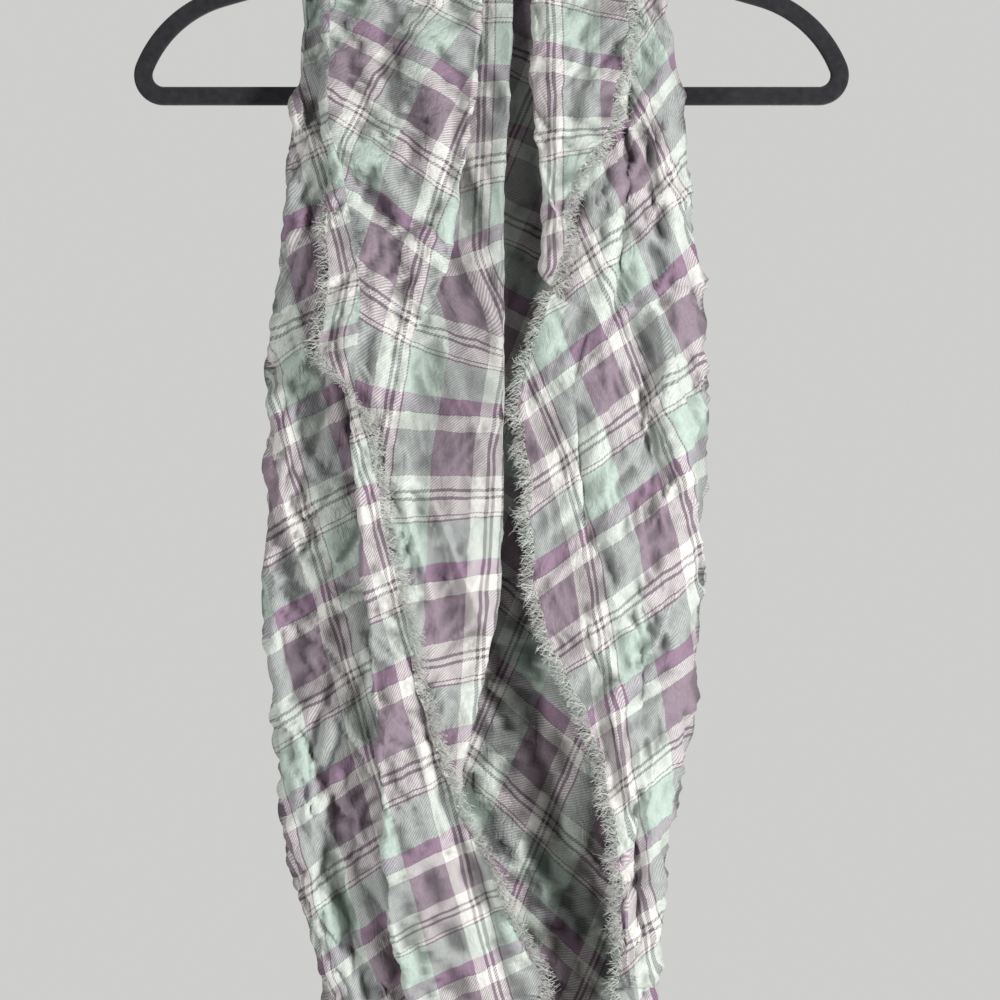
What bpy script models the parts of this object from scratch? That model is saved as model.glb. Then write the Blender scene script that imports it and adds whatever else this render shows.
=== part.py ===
"""Infinity scarf hung round the neck of a slim hanger.

A band of plaid gauze, joined into a loop, lies over both arms of the hanger as it would round a
neck. Its two strands hang in front of the trouser bar and meet in a deep turn at the bottom. Each
strand is folded on itself, so its section is a flat zigzag of layers. The sections below are worked
out level by level from tables of fold places, and the cloth is lofted through them.

Lengths are in millimetres and are turned into metres when a mesh is made. The origin is the inside
of the hook's top, where the rod sits. +X is to the right, the front faces -Y and +Z is up.
Levels in the tables are drops below the middle of the trouser bar.
"""
import math

import bpy
import numpy as np

MM = 0.001

# Hanger
SPAN = 445.0
BAR_LEVEL = -222.0
RAIL_WIDTH = 11.5
RAIL_THICKNESS = 5.0
SHOULDER_SLOPE = math.radians(16.0)
SHOULDER_END = math.radians(68.0)
SHOULDER_RADIUS = 74.0
CORNER_RADIUS = 13.0
ARC_STEPS = 7
CORNER_STEPS = 6
WIRE_RADIUS = 1.9
HOOK_INSIDE = 24.0
HOOK_JOIN = math.radians(-65.0)
HOOK_TIP = math.radians(205.0)
HOOK_BEND = 19.0
HOOK_TURN_STEPS = 20
HOOK_BEND_STEPS = 5

# Cloth
CLOTH = 1.2
SEAM = 0.3
BACK_SEAM = 0.5
BACK_DEPTH = 10.0
FRINGE = 9.0
ROLL_LENGTH = 11.0
PIVOT_X = 53.0
PIVOT_DROP = 546.0
TURN_RATE = 2.0
TURN_START = 38
CROTCH_DROP = 300.0
NECK_TOP_DROP = -50.0
FOLD_STEPS = 4
ROLL_STEPS = 4
STRIP_STEPS = 3
SHARP_ANGLE = math.radians(50)

# Neck: how far out from the stem each strand's folds lie at its top and on the arm, and how
# many rows climb to the arm, wrap over it and run to the middle of the back.
LEFT_SPREAD = (-13.0, 117.0, 8.0, 100.0)
RIGHT_SPREAD = (7.0, 108.0, 8.0, 88.0)
LAYER_PACK = 0.85
ARM_WRAP = 5.2
UNDER_GAP = 3.5
PLEAT_HALF = 2.5
NECK_CLIMB = 2
NECK_WRAP = 4
NECK_SWAG = 2
SWAG_TOP = 8.0
SWAG_DEPTH = 96.0
SWAG_BEHIND = 4.0

# Fold places of the left strand. Reaches are measured to the left of the hanger's middle; depths
# are measured forward of it. Levels past PIVOT_DROP run on round the bottom turn.
LEFT = (
    ("level", "fold", "pleat", "root", "inner", "side", "turn", "edge",
     "front", "under", "outer", "back", "rear"),
    (-50, 102, 7, 31, -13, 117, 10, 18, 23.0, 17.0, 13.5, 7.5, 4.5),
    (10, 102, 12, 36, -11, 123, 10, 18, 34.0, 27.0, 22.0, 9.5, 4.7),
    (70, 90, 21, 40, -7, 126, 10, 17, 41.0, 33.0, 27.0, 9.5, 4.7),
    (130, 82, 28, 37, -7, 132, 10, 17, 46.0, 38.5, 30.0, 10.0, 4.7),
    (190, 85, 31, 36, -7, 138, 9, 16, 48.0, 43.0, 32.0, 10.0, 4.7),
    (250, 80, 31, 36, -7, 138, 7, 14, 49.0, 46.0, 34.0, 10.0, 4.7),
    (310, 75, 31, 36, -4, 139, 4, 11, 51.0, 47.0, 35.0, 10.0, 4.7),
    (370, 71, 31, 36, 7, 134, 4, 11, 53.0, 47.0, 36.0, 10.0, 4.7),
    (430, 65, 31, 36, 19, 128, 4, 11, 53.0, 46.0, 36.0, 10.0, 4.7),
    (490, 63, 31, 36, 20, 119, 4, 11, 51.0, 44.0, 35.0, 10.0, 4.7),
    (546, 51, 31, 36, 21, 103, 4, 11, 47.0, 43.0, 34.0, 10.0, 4.7),
    (586, 45, 31, 36, 31, 99, 4, 11, 44.0, 41.5, 34.0, 10.0, 4.7),
    (622, 37, 31, 36, 29, 90, 4, 11, 42.0, 41.0, 35.0, 10.0, 4.7),
)

# The frayed strip beyond the left strand's front fold. It turns under at the top, lies open below
# that, then flips over to the front and widens into a lapel.
LAPEL = (
    ("level", "turn", "length", "fray"),
    (-50, -180, 5, 3),
    (10, -180, 3, 2.5),
    (50, -100, 2, 2),
    (85, 0, 4, 8),
    (130, 0, 10, 9),
    (160, 0, 13, 9),
    (183, 90, 2, 5),
    (205, 170, 8, 9),
    (250, 180, 9, 9),
    (310, 180, 19, 9),
    (370, 180, 26, 9),
    (430, 180, 42, 9),
    (490, 180, 67, 9),
    (546, 180, 78, 9),
    (586, 180, 66, 9),
    (622, 180, 50, 9),
)

# Fold places of the right strand. Reaches are measured to the right.
RIGHT = (
    ("level", "edge", "inner", "side", "turn", "hem", "front", "outer", "back", "rear"),
    (-50, 85, 25, 108, 7, 80, 22.0, 14.0, 8.0, 4.5),
    (10, 75, 25, 116, 8, 72, 38.0, 30.0, 9.5, 4.7),
    (70, 50, 30, 121, 8, 62, 44.0, 37.0, 9.5, 4.7),
    (130, 37, 27, 128, 8, 50, 46.0, 40.0, 10.0, 4.7),
    (190, 16, 26, 130, 8, 38, 46.0, 42.0, 10.0, 4.7),
    (250, 22, 26, 130, 6, 24, 46.0, 44.0, 10.0, 4.7),
    (310, 27, 26, 128, 3, 10, 46.0, 45.0, 10.0, 4.7),
    (370, 50, 26, 123, 3, 10, 46.0, 45.0, 10.0, 4.7),
    (430, 72, 26, 113, 3, 10, 46.0, 44.0, 10.0, 4.7),
    (490, 78, 26, 105, 3, 10, 46.0, 42.0, 10.0, 4.7),
    (546, 75, 26, 100, 3, 10, 46.0, 38.0, 10.0, 4.7),
)

# The lower turn's front, by the angle that it has gone round the pivot, from the left strand.
TURN = (
    ("angle", "edge", "side", "front", "outer", "back"),
    (38, 36, 143, 46, 35, 10),
    (65, 44, 126, 44, 35, 10),
    (90, 48, 112, 42, 36, 10),
    (105, 46, 97, 41, 36, 10),
    (120, 41, 80, 40, 37, 10),
    (150, 29, 53, 39, 38, 10),
    (180, 22, 47, 38, 38, 10),
)

LEFT_TOP_LEVELS = (-50, -10, 15, 35, 55, 75, 100, 130, 150, 167)
LEFT_LEVELS = (167.3, 183, 198, 215, 240, 270, 300, 330, 370, 410, 450, 490, 520, 546, 574, 602, 622)
RIGHT_TOP_LEVELS = (-50, -20, 10, 40, 70, 100, 132)
RIGHT_LEVELS = (132.3, 160, 190, 220, 250, 275, 300, 330, 370, 410, 450, 490, 520, 546)
BACK_LEVELS = (300, 330, 370, 410, 450, 490, 520, 546)
BACK_COLUMNS = (0.0, 0.015, 0.06, 0.15, 0.30, 0.50, 0.70, 0.85, 0.94, 0.985, 1.0)

# Rows of the back panel in the lower turn: the angle at which each one ends, and how far it has
# bowed from a straight line to the bottom's own curve.
BACK_TURNS = ((14, 0.10), (28, 0.28), (42, 0.50), (54, 0.78), (58, 0.92), (60, 1.0))

FRONT_SKIN = ("plaid_gauze", (0.55, 0.56, 0.54, 1.0), 0.9, 0.0)
FRINGE_SKIN = ("frayed_yarn", (0.66, 0.62, 0.60, 1.0), 0.95, 0.0)
FLOCK_SKIN = ("black_flock", (0.012, 0.012, 0.016, 1.0), 0.95, 0.0)
STEEL_SKIN = ("bright_steel", (0.72, 0.72, 0.73, 1.0), 0.2, 1.0)


def clear_scene():
    for item in list(bpy.data.objects):
        bpy.data.objects.remove(item, do_unlink=True)


def material(skin):
    """The named finish, made once."""
    name, colour, roughness, metallic = skin
    found = bpy.data.materials.get(name)
    if found:
        return found
    made = bpy.data.materials.new(name)
    made.use_nodes = True
    shader = made.node_tree.nodes["Principled BSDF"]
    shader.inputs["Base Color"].default_value = colour
    shader.inputs["Roughness"].default_value = roughness
    shader.inputs["Metallic"].default_value = metallic
    return made


def place(name, data, skin):
    """Put a mesh or curve in the object's collection under its node's name."""
    piece = bpy.data.objects.new(name, data)
    data.materials.append(material(skin))
    bpy.data.collections["infinity_scarf_on_hanger"].objects.link(piece)
    return piece


# ---------------------------------------------------------------- tables

def smooth(knots, values, at):
    """A cubic through the knots that doesn't overshoot between them."""
    knots = np.asarray(knots, float)
    values = np.asarray(values, float)
    gaps = np.diff(knots)
    rises = np.diff(values) / gaps
    slopes = np.zeros(len(knots))
    slopes[0] = rises[0]
    slopes[-1] = rises[-1]
    for i in range(1, len(knots) - 1):
        if rises[i - 1] * rises[i] > 0:
            slopes[i] = 2.0 * rises[i - 1] * rises[i] / (rises[i - 1] + rises[i])
    at = min(max(at, knots[0]), knots[-1])
    i = min(int(np.searchsorted(knots, at, side="right")) - 1, len(gaps) - 1)
    t = (at - knots[i]) / gaps[i]
    return float(
        values[i] * (1 + 2 * t) * (1 - t) ** 2
        + values[i + 1] * t * t * (3 - 2 * t)
        + gaps[i] * t * (1 - t) * (slopes[i] * (1 - t) - slopes[i + 1] * t)
    )


def row_of(table, level):
    """Every column of a table at one level, by name."""
    names = table[0]
    knots = [row[0] for row in table[1:]]
    return {
        name: smooth(knots, [row[k] for row in table[1:]], level)
        for k, name in enumerate(names) if k
    }


# ---------------------------------------------------------------- sections

def fold(tip, facing, arrive, leave, reach):
    """Round a fold whose tip is at a reach, from one layer's depth to the next one's."""
    half = (leave - arrive) / 2.0
    points = []
    for step in range(FOLD_STEPS + 1):
        angle = math.radians(-90.0 + 180.0 / FOLD_STEPS * step)
        points.append((
            tip - facing * reach * (1.0 - math.cos(angle)),
            (arrive + leave) / 2.0 + half * math.sin(angle),
        ))
    return points


def section(*parts):
    """Join named stretches of points with straight runs, given as a number of steps."""
    points = []
    marks = {}
    steps = 0
    for part in parts:
        if isinstance(part, int):
            steps = part
            continue
        name, stretch = part
        for step in range(1, steps):
            share = step / steps
            start = points[-1 - (step - 1)]
            points.append((
                start[0] + (stretch[0][0] - start[0]) * share,
                start[1] + (stretch[0][1] - start[1]) * share,
            ))
        steps = 0
        marks[name] = len(points) + (FOLD_STEPS // 2 if len(stretch) == FOLD_STEPS + 1 else 0)
        points.extend(stretch)
    return points, marks


def lapel(level, start):
    """The frayed strip, walked out from the fold and turned as the table says, edge first."""
    row = row_of(LAPEL, level)
    heading = 0.0
    reach, depth = start
    points = [(reach, depth)]
    for step in range(ROLL_STEPS + STRIP_STEPS):
        if step < ROLL_STEPS:
            length = ROLL_LENGTH / ROLL_STEPS
            turn = math.radians(row["turn"]) / ROLL_STEPS
        else:
            length = row["length"] / STRIP_STEPS
            turn = 0.0
        heading += turn / 2
        reach += length * math.cos(heading)
        depth += length * math.sin(heading)
        heading += turn / 2
        points.append((reach, depth))
    return points[::-1]


def beyond(edge, inside, fray):
    """The tip of the fringe, straight on past an edge."""
    run = (edge[0] - inside[0], edge[1] - inside[1])
    length = math.hypot(*run)
    return (edge[0] + run[0] / length * fray, edge[1] + run[1] / length * fray)


def left_section(level, pleated):
    """The left strand's layers at one level, from its frayed front edge to its back edge."""
    row = row_of(LEFT, level)
    roll = ROLL_LENGTH / math.pi
    strip = lapel(level, (row["fold"] - roll, row["front"]))
    soft = (row["under"] - row["outer"]) / 2
    side = (row["outer"] - row["back"]) / 2
    turn = (row["back"] - row["rear"]) / 2
    middle = (row["front"] + row["under"]) / 2
    crisp = min((row["front"] - middle) / 2, 0.3 * (row["root"] - row["pleat"]))
    fray = row_of(LAPEL, level)["fray"]
    parts = [("fringe", [beyond(strip[0], strip[1], fray)]), 1, ("edge", strip[:-1]), 1]
    parts += [("fold", [strip[-1]])]
    if pleated:
        parts += [
            3, ("pleat", fold(row["pleat"], -1, row["front"], middle, crisp)),
            2, ("root", fold(row["root"], 1, middle, row["under"], crisp)),
            2,
        ]
    else:
        parts += [5]
    parts += [
        ("inner", fold(row["inner"], -1, row["under"], row["outer"], soft)),
        4, ("side", fold(row["side"], 1, row["outer"], row["back"], side)),
        3, ("turn", fold(row["turn"], -1, row["back"], row["rear"], turn)),
        1, ("hem", [(row["edge"], row["rear"])]),
        1, ("tail", [(row["edge"] + FRINGE, row["rear"])]),
    ]
    return section(*parts)


def right_section(level, lapelled):
    """The right strand's layers at one level, from its frayed front edge to its back edge."""
    row = row_of(RIGHT, level)
    side = (row["outer"] - row["back"]) / 2
    turn = (row["back"] - row["rear"]) / 2
    parts = []
    if lapelled:
        soft = min((row["front"] - row["outer"]) / 2, 0.4 * (row["edge"] - row["inner"]))
        parts += [
            ("fringe", [(row["edge"] + FRINGE, row["front"])]), 1,
            ("edge", [(row["edge"], row["front"])]),
            2, ("inner", fold(row["inner"], -1, row["front"], row["outer"], soft)),
        ]
    else:
        parts += [
            ("fringe", [(row["edge"] - FRINGE, row["outer"])]), 1,
            ("edge", [(row["edge"], row["outer"])]),
        ]
    parts += [
        4, ("side", fold(row["side"], 1, row["outer"], row["back"], side)),
        3, ("turn", fold(row["turn"], -1, row["back"], row["rear"], turn)),
        2, ("hem", [(row["hem"], row["rear"])]),
        1, ("tail", [(row["hem"] + FRINGE, row["rear"])]),
    ]
    return section(*parts)


def level_point(side, level, reach, depth):
    """A section's point in space. Past the pivot's level the section swings round it."""
    angle = math.radians(max(level - PIVOT_DROP, 0.0) / TURN_RATE)
    drop = min(level, PIVOT_DROP)
    if side < 0 and angle:
        radius = reach + PIVOT_X
        return (
            PIVOT_X - radius * math.cos(angle),
            -depth,
            BAR_LEVEL - PIVOT_DROP - radius * math.sin(angle),
        )
    return (side * reach, -depth, BAR_LEVEL - drop)


def strand_grid(side, levels, make_section, layered):
    rows = []
    marks = {}
    for level in levels:
        points, marks = make_section(level, layered)
        rows.append([level_point(side, level, *point) for point in points])
    return np.array(rows), marks


# ---------------------------------------------------------------- neck

def arm_top(reach):
    """Height of the arm's upper edge at a reach from the stem."""
    ends = SPAN / 2 - RAIL_WIDTH / 2
    straight = (
        ends - SHOULDER_RADIUS * (math.sin(SHOULDER_END) - math.sin(SHOULDER_SLOPE))
        - CORNER_RADIUS * (1 - math.sin(SHOULDER_END))
    )
    rise = (
        straight * math.tan(SHOULDER_SLOPE)
        + SHOULDER_RADIUS * (math.cos(SHOULDER_SLOPE) - math.cos(SHOULDER_END))
        + CORNER_RADIUS * (math.cos(SHOULDER_END) + 1)
    )
    middle = BAR_LEVEL + rise - reach * math.tan(SHOULDER_SLOPE)
    return middle + RAIL_WIDTH / 2 / math.cos(SHOULDER_SLOPE)


def neck_half(side, points, near, far, arm_near, arm_far):
    """Rows from a strand's top section, over the arm and behind it to the middle of the back."""
    rows = []
    lowest = min(depth for _, depth in points)
    for station in range(NECK_CLIMB + NECK_WRAP + NECK_SWAG):
        row = []
        for reach, depth in points:
            share = (reach - near) / (far - near)
            over = arm_near + (arm_far - arm_near) * share
            radius = ARM_WRAP + (depth - lowest) * LAYER_PACK
            centre = arm_top(over) - RAIL_THICKNESS / 2
            start = (side * reach, -depth, BAR_LEVEL - NECK_TOP_DROP)
            front = (side * over, -radius, centre)
            swag = (
                0.0,
                SWAG_BEHIND + radius,
                arm_top(0.0) - SWAG_TOP - SWAG_DEPTH * share,
            )
            if station < NECK_CLIMB:
                t = station / NECK_CLIMB
                ease = t * t * (3 - 2 * t)
                row.append((
                    start[0] + (front[0] - start[0]) * ease,
                    start[1] + (front[1] - start[1]) * ease,
                    start[2] + (front[2] - start[2]) * t,
                ))
            elif station < NECK_CLIMB + NECK_WRAP:
                angle = math.radians(180.0 - 180.0 / (NECK_WRAP - 1) * (station - NECK_CLIMB))
                row.append((
                    side * over,
                    radius * math.cos(angle),
                    centre + radius * math.sin(angle),
                ))
            else:
                t = (station + 1 - NECK_CLIMB - NECK_WRAP) / NECK_SWAG
                ease = t * t * (3 - 2 * t)
                row.append((
                    side * over * (1 - t),
                    radius + (swag[1] - radius) * ease,
                    centre + (swag[2] - centre) * (1 - (1 - t) ** 2),
                ))
        rows.append(row)
    return rows


def right_neck_points():
    """The right strand's top section with as many points as the left one, in the same order."""
    row = row_of(RIGHT, NECK_TOP_DROP)
    front = row["front"]
    under = row["outer"] + UNDER_GAP
    middle = (front + under) / 2
    crisp = (front - middle) / 2
    roll = ROLL_LENGTH / math.pi
    strip = lapel(NECK_TOP_DROP, (row["edge"] - roll, front))
    pleat = (row["edge"] + row["inner"]) / 2 - PLEAT_HALF
    parts = [
        ("fringe", [beyond(strip[0], strip[1], FRINGE)]), 1, ("edge", strip[:-1]), 1,
        ("fold", [strip[-1]]),
        3, ("pleat", fold(pleat, -1, front, middle, crisp)),
        2, ("root", fold(pleat + 2 * PLEAT_HALF, 1, middle, under, crisp)),
        2, ("inner", fold(row["inner"], -1, under, row["outer"], (under - row["outer"]) / 2)),
        4, ("side", fold(row["side"], 1, row["outer"], row["back"], (row["outer"] - row["back"]) / 2)),
        3, ("turn", fold(row["turn"], -1, row["back"], row["rear"], (row["back"] - row["rear"]) / 2)),
        1, ("hem", [(row["hem"], row["rear"])]),
        1, ("tail", [(row["hem"] + FRINGE, row["rear"])]),
    ]
    return section(*parts)[0]


def neck_grid():
    """All the rows of the neck, from the right strand's top to the left strand's."""
    left, marks = left_section(NECK_TOP_DROP, True)
    right = right_neck_points()
    left_rows = neck_half(-1, left, *LEFT_SPREAD)
    right_rows = neck_half(1, right, *RIGHT_SPREAD)
    middle = (np.array(left_rows[-1]) + np.array(right_rows[-1])) / 2
    rows = [np.array(row) for row in right_rows[:-1]]
    rows.append(middle)
    rows += [np.array(row) for row in left_rows[-2::-1]]
    return np.array(rows), marks


# ---------------------------------------------------------------- lower turn and back

def turn_grid():
    """The front of the lower turn, from the left strand's lapel round to the right strand."""
    ends = [angle for angle, _ in BACK_TURNS]
    angles = [TURN_START] + [angle for angle in ends if angle > TURN_START]
    angles += [ends[-1] + (180 - 2 * ends[-1]) * column for column in BACK_COLUMNS[1:-1]]
    angles += [180 - angle for angle in reversed(ends)] + [180]
    rows = []
    marks = {}
    for angle in angles:
        row = row_of(TURN, angle)
        half = (row["outer"] - row["back"]) / 2
        points, marks = section(
            ("fringe", [(row["edge"] - FRINGE, row["front"])]), 1,
            ("edge", [(row["edge"], row["front"])]),
            4, ("side", fold(row["side"], 1, row["outer"], row["back"], half)),
        )
        swing = math.radians(angle)
        rows.append([
            (
                PIVOT_X - radius * math.cos(swing),
                -depth,
                BAR_LEVEL - PIVOT_DROP - radius * math.sin(swing),
            )
            for radius, depth in points
        ])
    return np.array(rows), marks


def side_point(side=1, level=None, angle=None):
    """A point of the outline where the front layers turn to the back, with its half depth."""
    if angle is None:
        row = row_of(LEFT if side < 0 else RIGHT, level)
        place_x = side * row["side"]
        drop = level
    else:
        if angle <= TURN_START:
            row = row_of(LEFT, PIVOT_DROP + TURN_RATE * angle)
            radius = row["side"] + PIVOT_X
        else:
            row = row_of(TURN, angle)
            radius = row["side"]
        swing = math.radians(angle)
        place_x = PIVOT_X - radius * math.cos(swing)
        drop = PIVOT_DROP + radius * math.sin(swing)
    return np.array((place_x, (row["outer"] + row["back"]) / 2, drop))


def back_grid():
    """The back panel below the crotch: rows across, which curve to the bottom's outline."""
    rows = []
    outline = [side_point(-1, level=level)[[0, 2]] for level in range(300, 546, 6)]
    outline += [side_point(angle=angle)[[0, 2]] for angle in range(0, 181, 2)]
    outline += [side_point(1, level=level)[[0, 2]] for level in range(540, 299, -6)]
    outline = np.array(outline)

    def add_row(start, end, curve, between):
        row = []
        for column in BACK_COLUMNS:
            flat = start + (end - start) * column
            bowed = between(column)
            spot = flat * (1 - curve) + bowed * curve
            away = float(np.min(np.hypot(outline[:, 0] - spot[0], outline[:, 1] - spot[2])))
            half = spot[1] - BACK_SEAM - BACK_DEPTH
            near = 1.0 - min(away / half, 1.0)
            if column in (0.0, 1.0) or curve == 1.0:
                near = 1.0
            depth = BACK_DEPTH + half * (1.0 - math.sqrt(max(1.0 - near * near, 0.0)))
            row.append((spot[0], -depth, BAR_LEVEL - spot[2]))
        rows.append(row)

    for level in BACK_LEVELS:
        start = side_point(-1, level=level)
        end = side_point(1, level=level)
        add_row(start, end, 0.0, lambda column: start)
    for angle, curve in BACK_TURNS:
        far = 180.0 - angle
        add_row(
            side_point(angle=angle), side_point(angle=far), curve,
            lambda column, a=angle, b=far: side_point(angle=a + (b - a) * column),
        )
    return np.array(rows)


# ---------------------------------------------------------------- cloth solids

def skins(grid):
    """The two faces of the cloth, half its thickness to each side of a grid."""
    across = np.gradient(grid, axis=1)
    along = np.gradient(grid, axis=0)
    normal = np.cross(across, along)
    normal /= np.linalg.norm(normal, axis=2, keepdims=True)
    return grid + normal * CLOTH / 2, grid - normal * CLOTH / 2


def inset(skin, middle):
    """Draw the borders of a cut in by half a seam's gap, along the cloth."""
    out = skin.copy()
    for axis in (0, 1):
        for end, inner in ((0, 1), (-1, -2)):
            here = middle.take(end, axis=axis)
            step = middle.take(inner, axis=axis) - here
            step /= np.linalg.norm(step, axis=-1, keepdims=True)
            if axis == 0:
                out[end] += step * SEAM / 2
            else:
                out[:, end] += step * SEAM / 2
    return out


def cloth(name, grid, rows, columns, skin=FRONT_SKIN):
    """Cut a panel out of a grid and close it as a wall of the cloth's thickness."""
    row_cut = slice(rows[0], rows[1] + 1)
    column_cut = slice(columns[0], columns[1] + 1)
    faces_of = skins(grid)
    middle = grid[row_cut, column_cut]
    front, rear = (inset(side[row_cut, column_cut], middle) for side in faces_of)
    high, wide = front.shape[:2]
    points = np.concatenate([front.reshape(-1, 3), rear.reshape(-1, 3)]) * MM
    back = high * wide

    def at(i, j):
        return i * wide + j

    faces = []
    for i in range(high - 1):
        for j in range(wide - 1):
            quad = (at(i, j), at(i, j + 1), at(i + 1, j + 1), at(i + 1, j))
            faces.append(quad)
            faces.append(tuple(back + k for k in reversed(quad)))
    rim = [at(0, j) for j in range(wide)]
    rim += [at(i, wide - 1) for i in range(1, high)]
    rim += [at(high - 1, j) for j in range(wide - 2, -1, -1)]
    rim += [at(i, 0) for i in range(high - 2, 0, -1)]
    for here, there in zip(rim, rim[1:] + rim[:1]):
        faces.append((there, here, back + here, back + there))
    mesh = bpy.data.meshes.new(name)
    mesh.from_pydata([tuple(point) for point in points], [], faces)
    if signed_volume(mesh) < 0:
        mesh.flip_normals()
    mesh.shade_smooth()
    mesh.set_sharp_from_angle(angle=SHARP_ANGLE)
    return place(name, mesh, skin)


def signed_volume(mesh):
    """Positive where the faces point out of the solid."""
    total = 0.0
    for face in mesh.polygons:
        corners = [mesh.vertices[k].co for k in face.vertices]
        for second, third in zip(corners[1:-1], corners[2:]):
            total += corners[0].dot(second.cross(third))
    return total


def build_neck():
    grid, marks = neck_grid()
    cuts = (("neck_right", 0, 5), ("neck_swag", 5, 9), ("neck_left", 9, 14))
    for name, first, last in cuts:
        cloth(name, grid, (first, last), (marks["edge"], marks["hem"]))


def build_left_strand():
    grid, marks = strand_grid(-1, LEFT_TOP_LEVELS, left_section, True)
    last = len(LEFT_TOP_LEVELS) - 1
    for name, start, end, skin in (
        ("left_top_fringe", "fringe", "edge", FRINGE_SKIN),
        ("left_top_edge", "edge", "fold", FRONT_SKIN),
        ("left_top_front", "fold", "pleat", FRONT_SKIN),
        ("left_top_pleat", "pleat", "inner", FRONT_SKIN),
        ("left_top_outer", "inner", "side", FRONT_SKIN),
        ("left_top_back", "side", "hem", FRONT_SKIN),
        ("left_top_back_fringe", "hem", "tail", FRINGE_SKIN),
    ):
        cloth(name, grid, (0, last), (marks[start], marks[end]), skin)
    grid, marks = strand_grid(-1, LEFT_LEVELS, left_section, False)
    last = len(LEFT_LEVELS) - 1
    crotch = LEFT_LEVELS.index(CROTCH_DROP)
    for name, end_row, start, end, skin in (
        ("left_fringe", last, "fringe", "edge", FRINGE_SKIN),
        ("left_lapel", last, "edge", "fold", FRONT_SKIN),
        ("left_front", last, "fold", "inner", FRONT_SKIN),
        ("left_outer", last, "inner", "side", FRONT_SKIN),
        ("left_back", crotch, "side", "hem", FRONT_SKIN),
        ("left_back_fringe", crotch, "hem", "tail", FRINGE_SKIN),
    ):
        cloth(name, grid, (0, end_row), (marks[start], marks[end]), skin)


def build_right_strand():
    grid, marks = strand_grid(1, RIGHT_TOP_LEVELS, right_section, True)
    last = len(RIGHT_TOP_LEVELS) - 1
    for name, start, end, skin in (
        ("right_top_fringe", "fringe", "edge", FRINGE_SKIN),
        ("right_top_lapel", "edge", "inner", FRONT_SKIN),
        ("right_top_outer", "inner", "side", FRONT_SKIN),
        ("right_top_back", "side", "turn", FRONT_SKIN),
        ("right_top_turn", "turn", "hem", FRONT_SKIN),
        ("right_top_back_fringe", "hem", "tail", FRINGE_SKIN),
    ):
        cloth(name, grid, (0, last), (marks[start], marks[end]), skin)
    grid, marks = strand_grid(1, RIGHT_LEVELS, right_section, False)
    last = len(RIGHT_LEVELS) - 1
    crotch = RIGHT_LEVELS.index(CROTCH_DROP)
    for name, end_row, start, end, skin in (
        ("right_fringe", last, "fringe", "edge", FRINGE_SKIN),
        ("right_outer", last, "edge", "side", FRONT_SKIN),
        ("right_back", crotch, "side", "turn", FRONT_SKIN),
        ("right_turn", crotch, "turn", "hem", FRONT_SKIN),
        ("right_back_fringe", crotch, "hem", "tail", FRINGE_SKIN),
    ):
        cloth(name, grid, (0, end_row), (marks[start], marks[end]), skin)


def build_bottom():
    grid, marks = turn_grid()
    last = len(grid) - 1
    cloth("bottom_fringe", grid, (0, last), (marks["fringe"], marks["edge"]), FRINGE_SKIN)
    cloth("bottom_front", grid, (0, last), (marks["edge"], marks["side"]))
    grid = back_grid()
    cloth("back_panel", grid, (0, len(grid) - 1), (0, len(BACK_COLUMNS) - 1))


# ---------------------------------------------------------------- hanger

def hanger_outline(offset):
    """The frame's outline at a distance outside its centreline, going round from the peak."""
    half = []
    for step in range(ARC_STEPS + 1):
        angle = SHOULDER_SLOPE + (SHOULDER_END - SHOULDER_SLOPE) * step / ARC_STEPS
        half.append((
            SPAN / 2 - RAIL_WIDTH / 2 - CORNER_RADIUS * (1 - math.sin(SHOULDER_END))
            + SHOULDER_RADIUS * (math.sin(angle) - math.sin(SHOULDER_END))
            + offset * math.sin(angle),
            CORNER_RADIUS * (1 + math.cos(SHOULDER_END))
            + SHOULDER_RADIUS * (math.cos(angle) - math.cos(SHOULDER_END))
            + offset * math.cos(angle),
        ))
    for step in range(1, CORNER_STEPS + 1):
        angle = SHOULDER_END + (math.pi - SHOULDER_END) * step / CORNER_STEPS
        half.append((
            SPAN / 2 - RAIL_WIDTH / 2 - CORNER_RADIUS + (CORNER_RADIUS + offset) * math.sin(angle),
            CORNER_RADIUS + (CORNER_RADIUS + offset) * math.cos(angle),
        ))
    first = half[0]
    peak = (0.0, first[1] + first[0] * math.tan(SHOULDER_SLOPE))
    return [peak] + half + [(-x, z) for x, z in reversed(half)]


def build_hanger_frame():
    curve = bpy.data.curves.new("hanger_frame", "CURVE")
    curve.dimensions = "2D"
    curve.fill_mode = "BOTH"
    curve.extrude = RAIL_THICKNESS / 2 * MM
    for offset in (RAIL_WIDTH / 2, -RAIL_WIDTH / 2):
        outline = hanger_outline(offset)
        spline = curve.splines.new("POLY")
        spline.points.add(len(outline) - 1)
        for point, (x, z) in zip(spline.points, outline):
            point.co = (x * MM, z * MM, 0.0, 1.0)
        spline.use_cyclic_u = True
    frame = place("hanger_frame", curve, FLOCK_SKIN)
    frame.rotation_euler = (math.radians(90), 0.0, 0.0)
    frame.location = (0.0, 0.0, BAR_LEVEL * MM)


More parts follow.
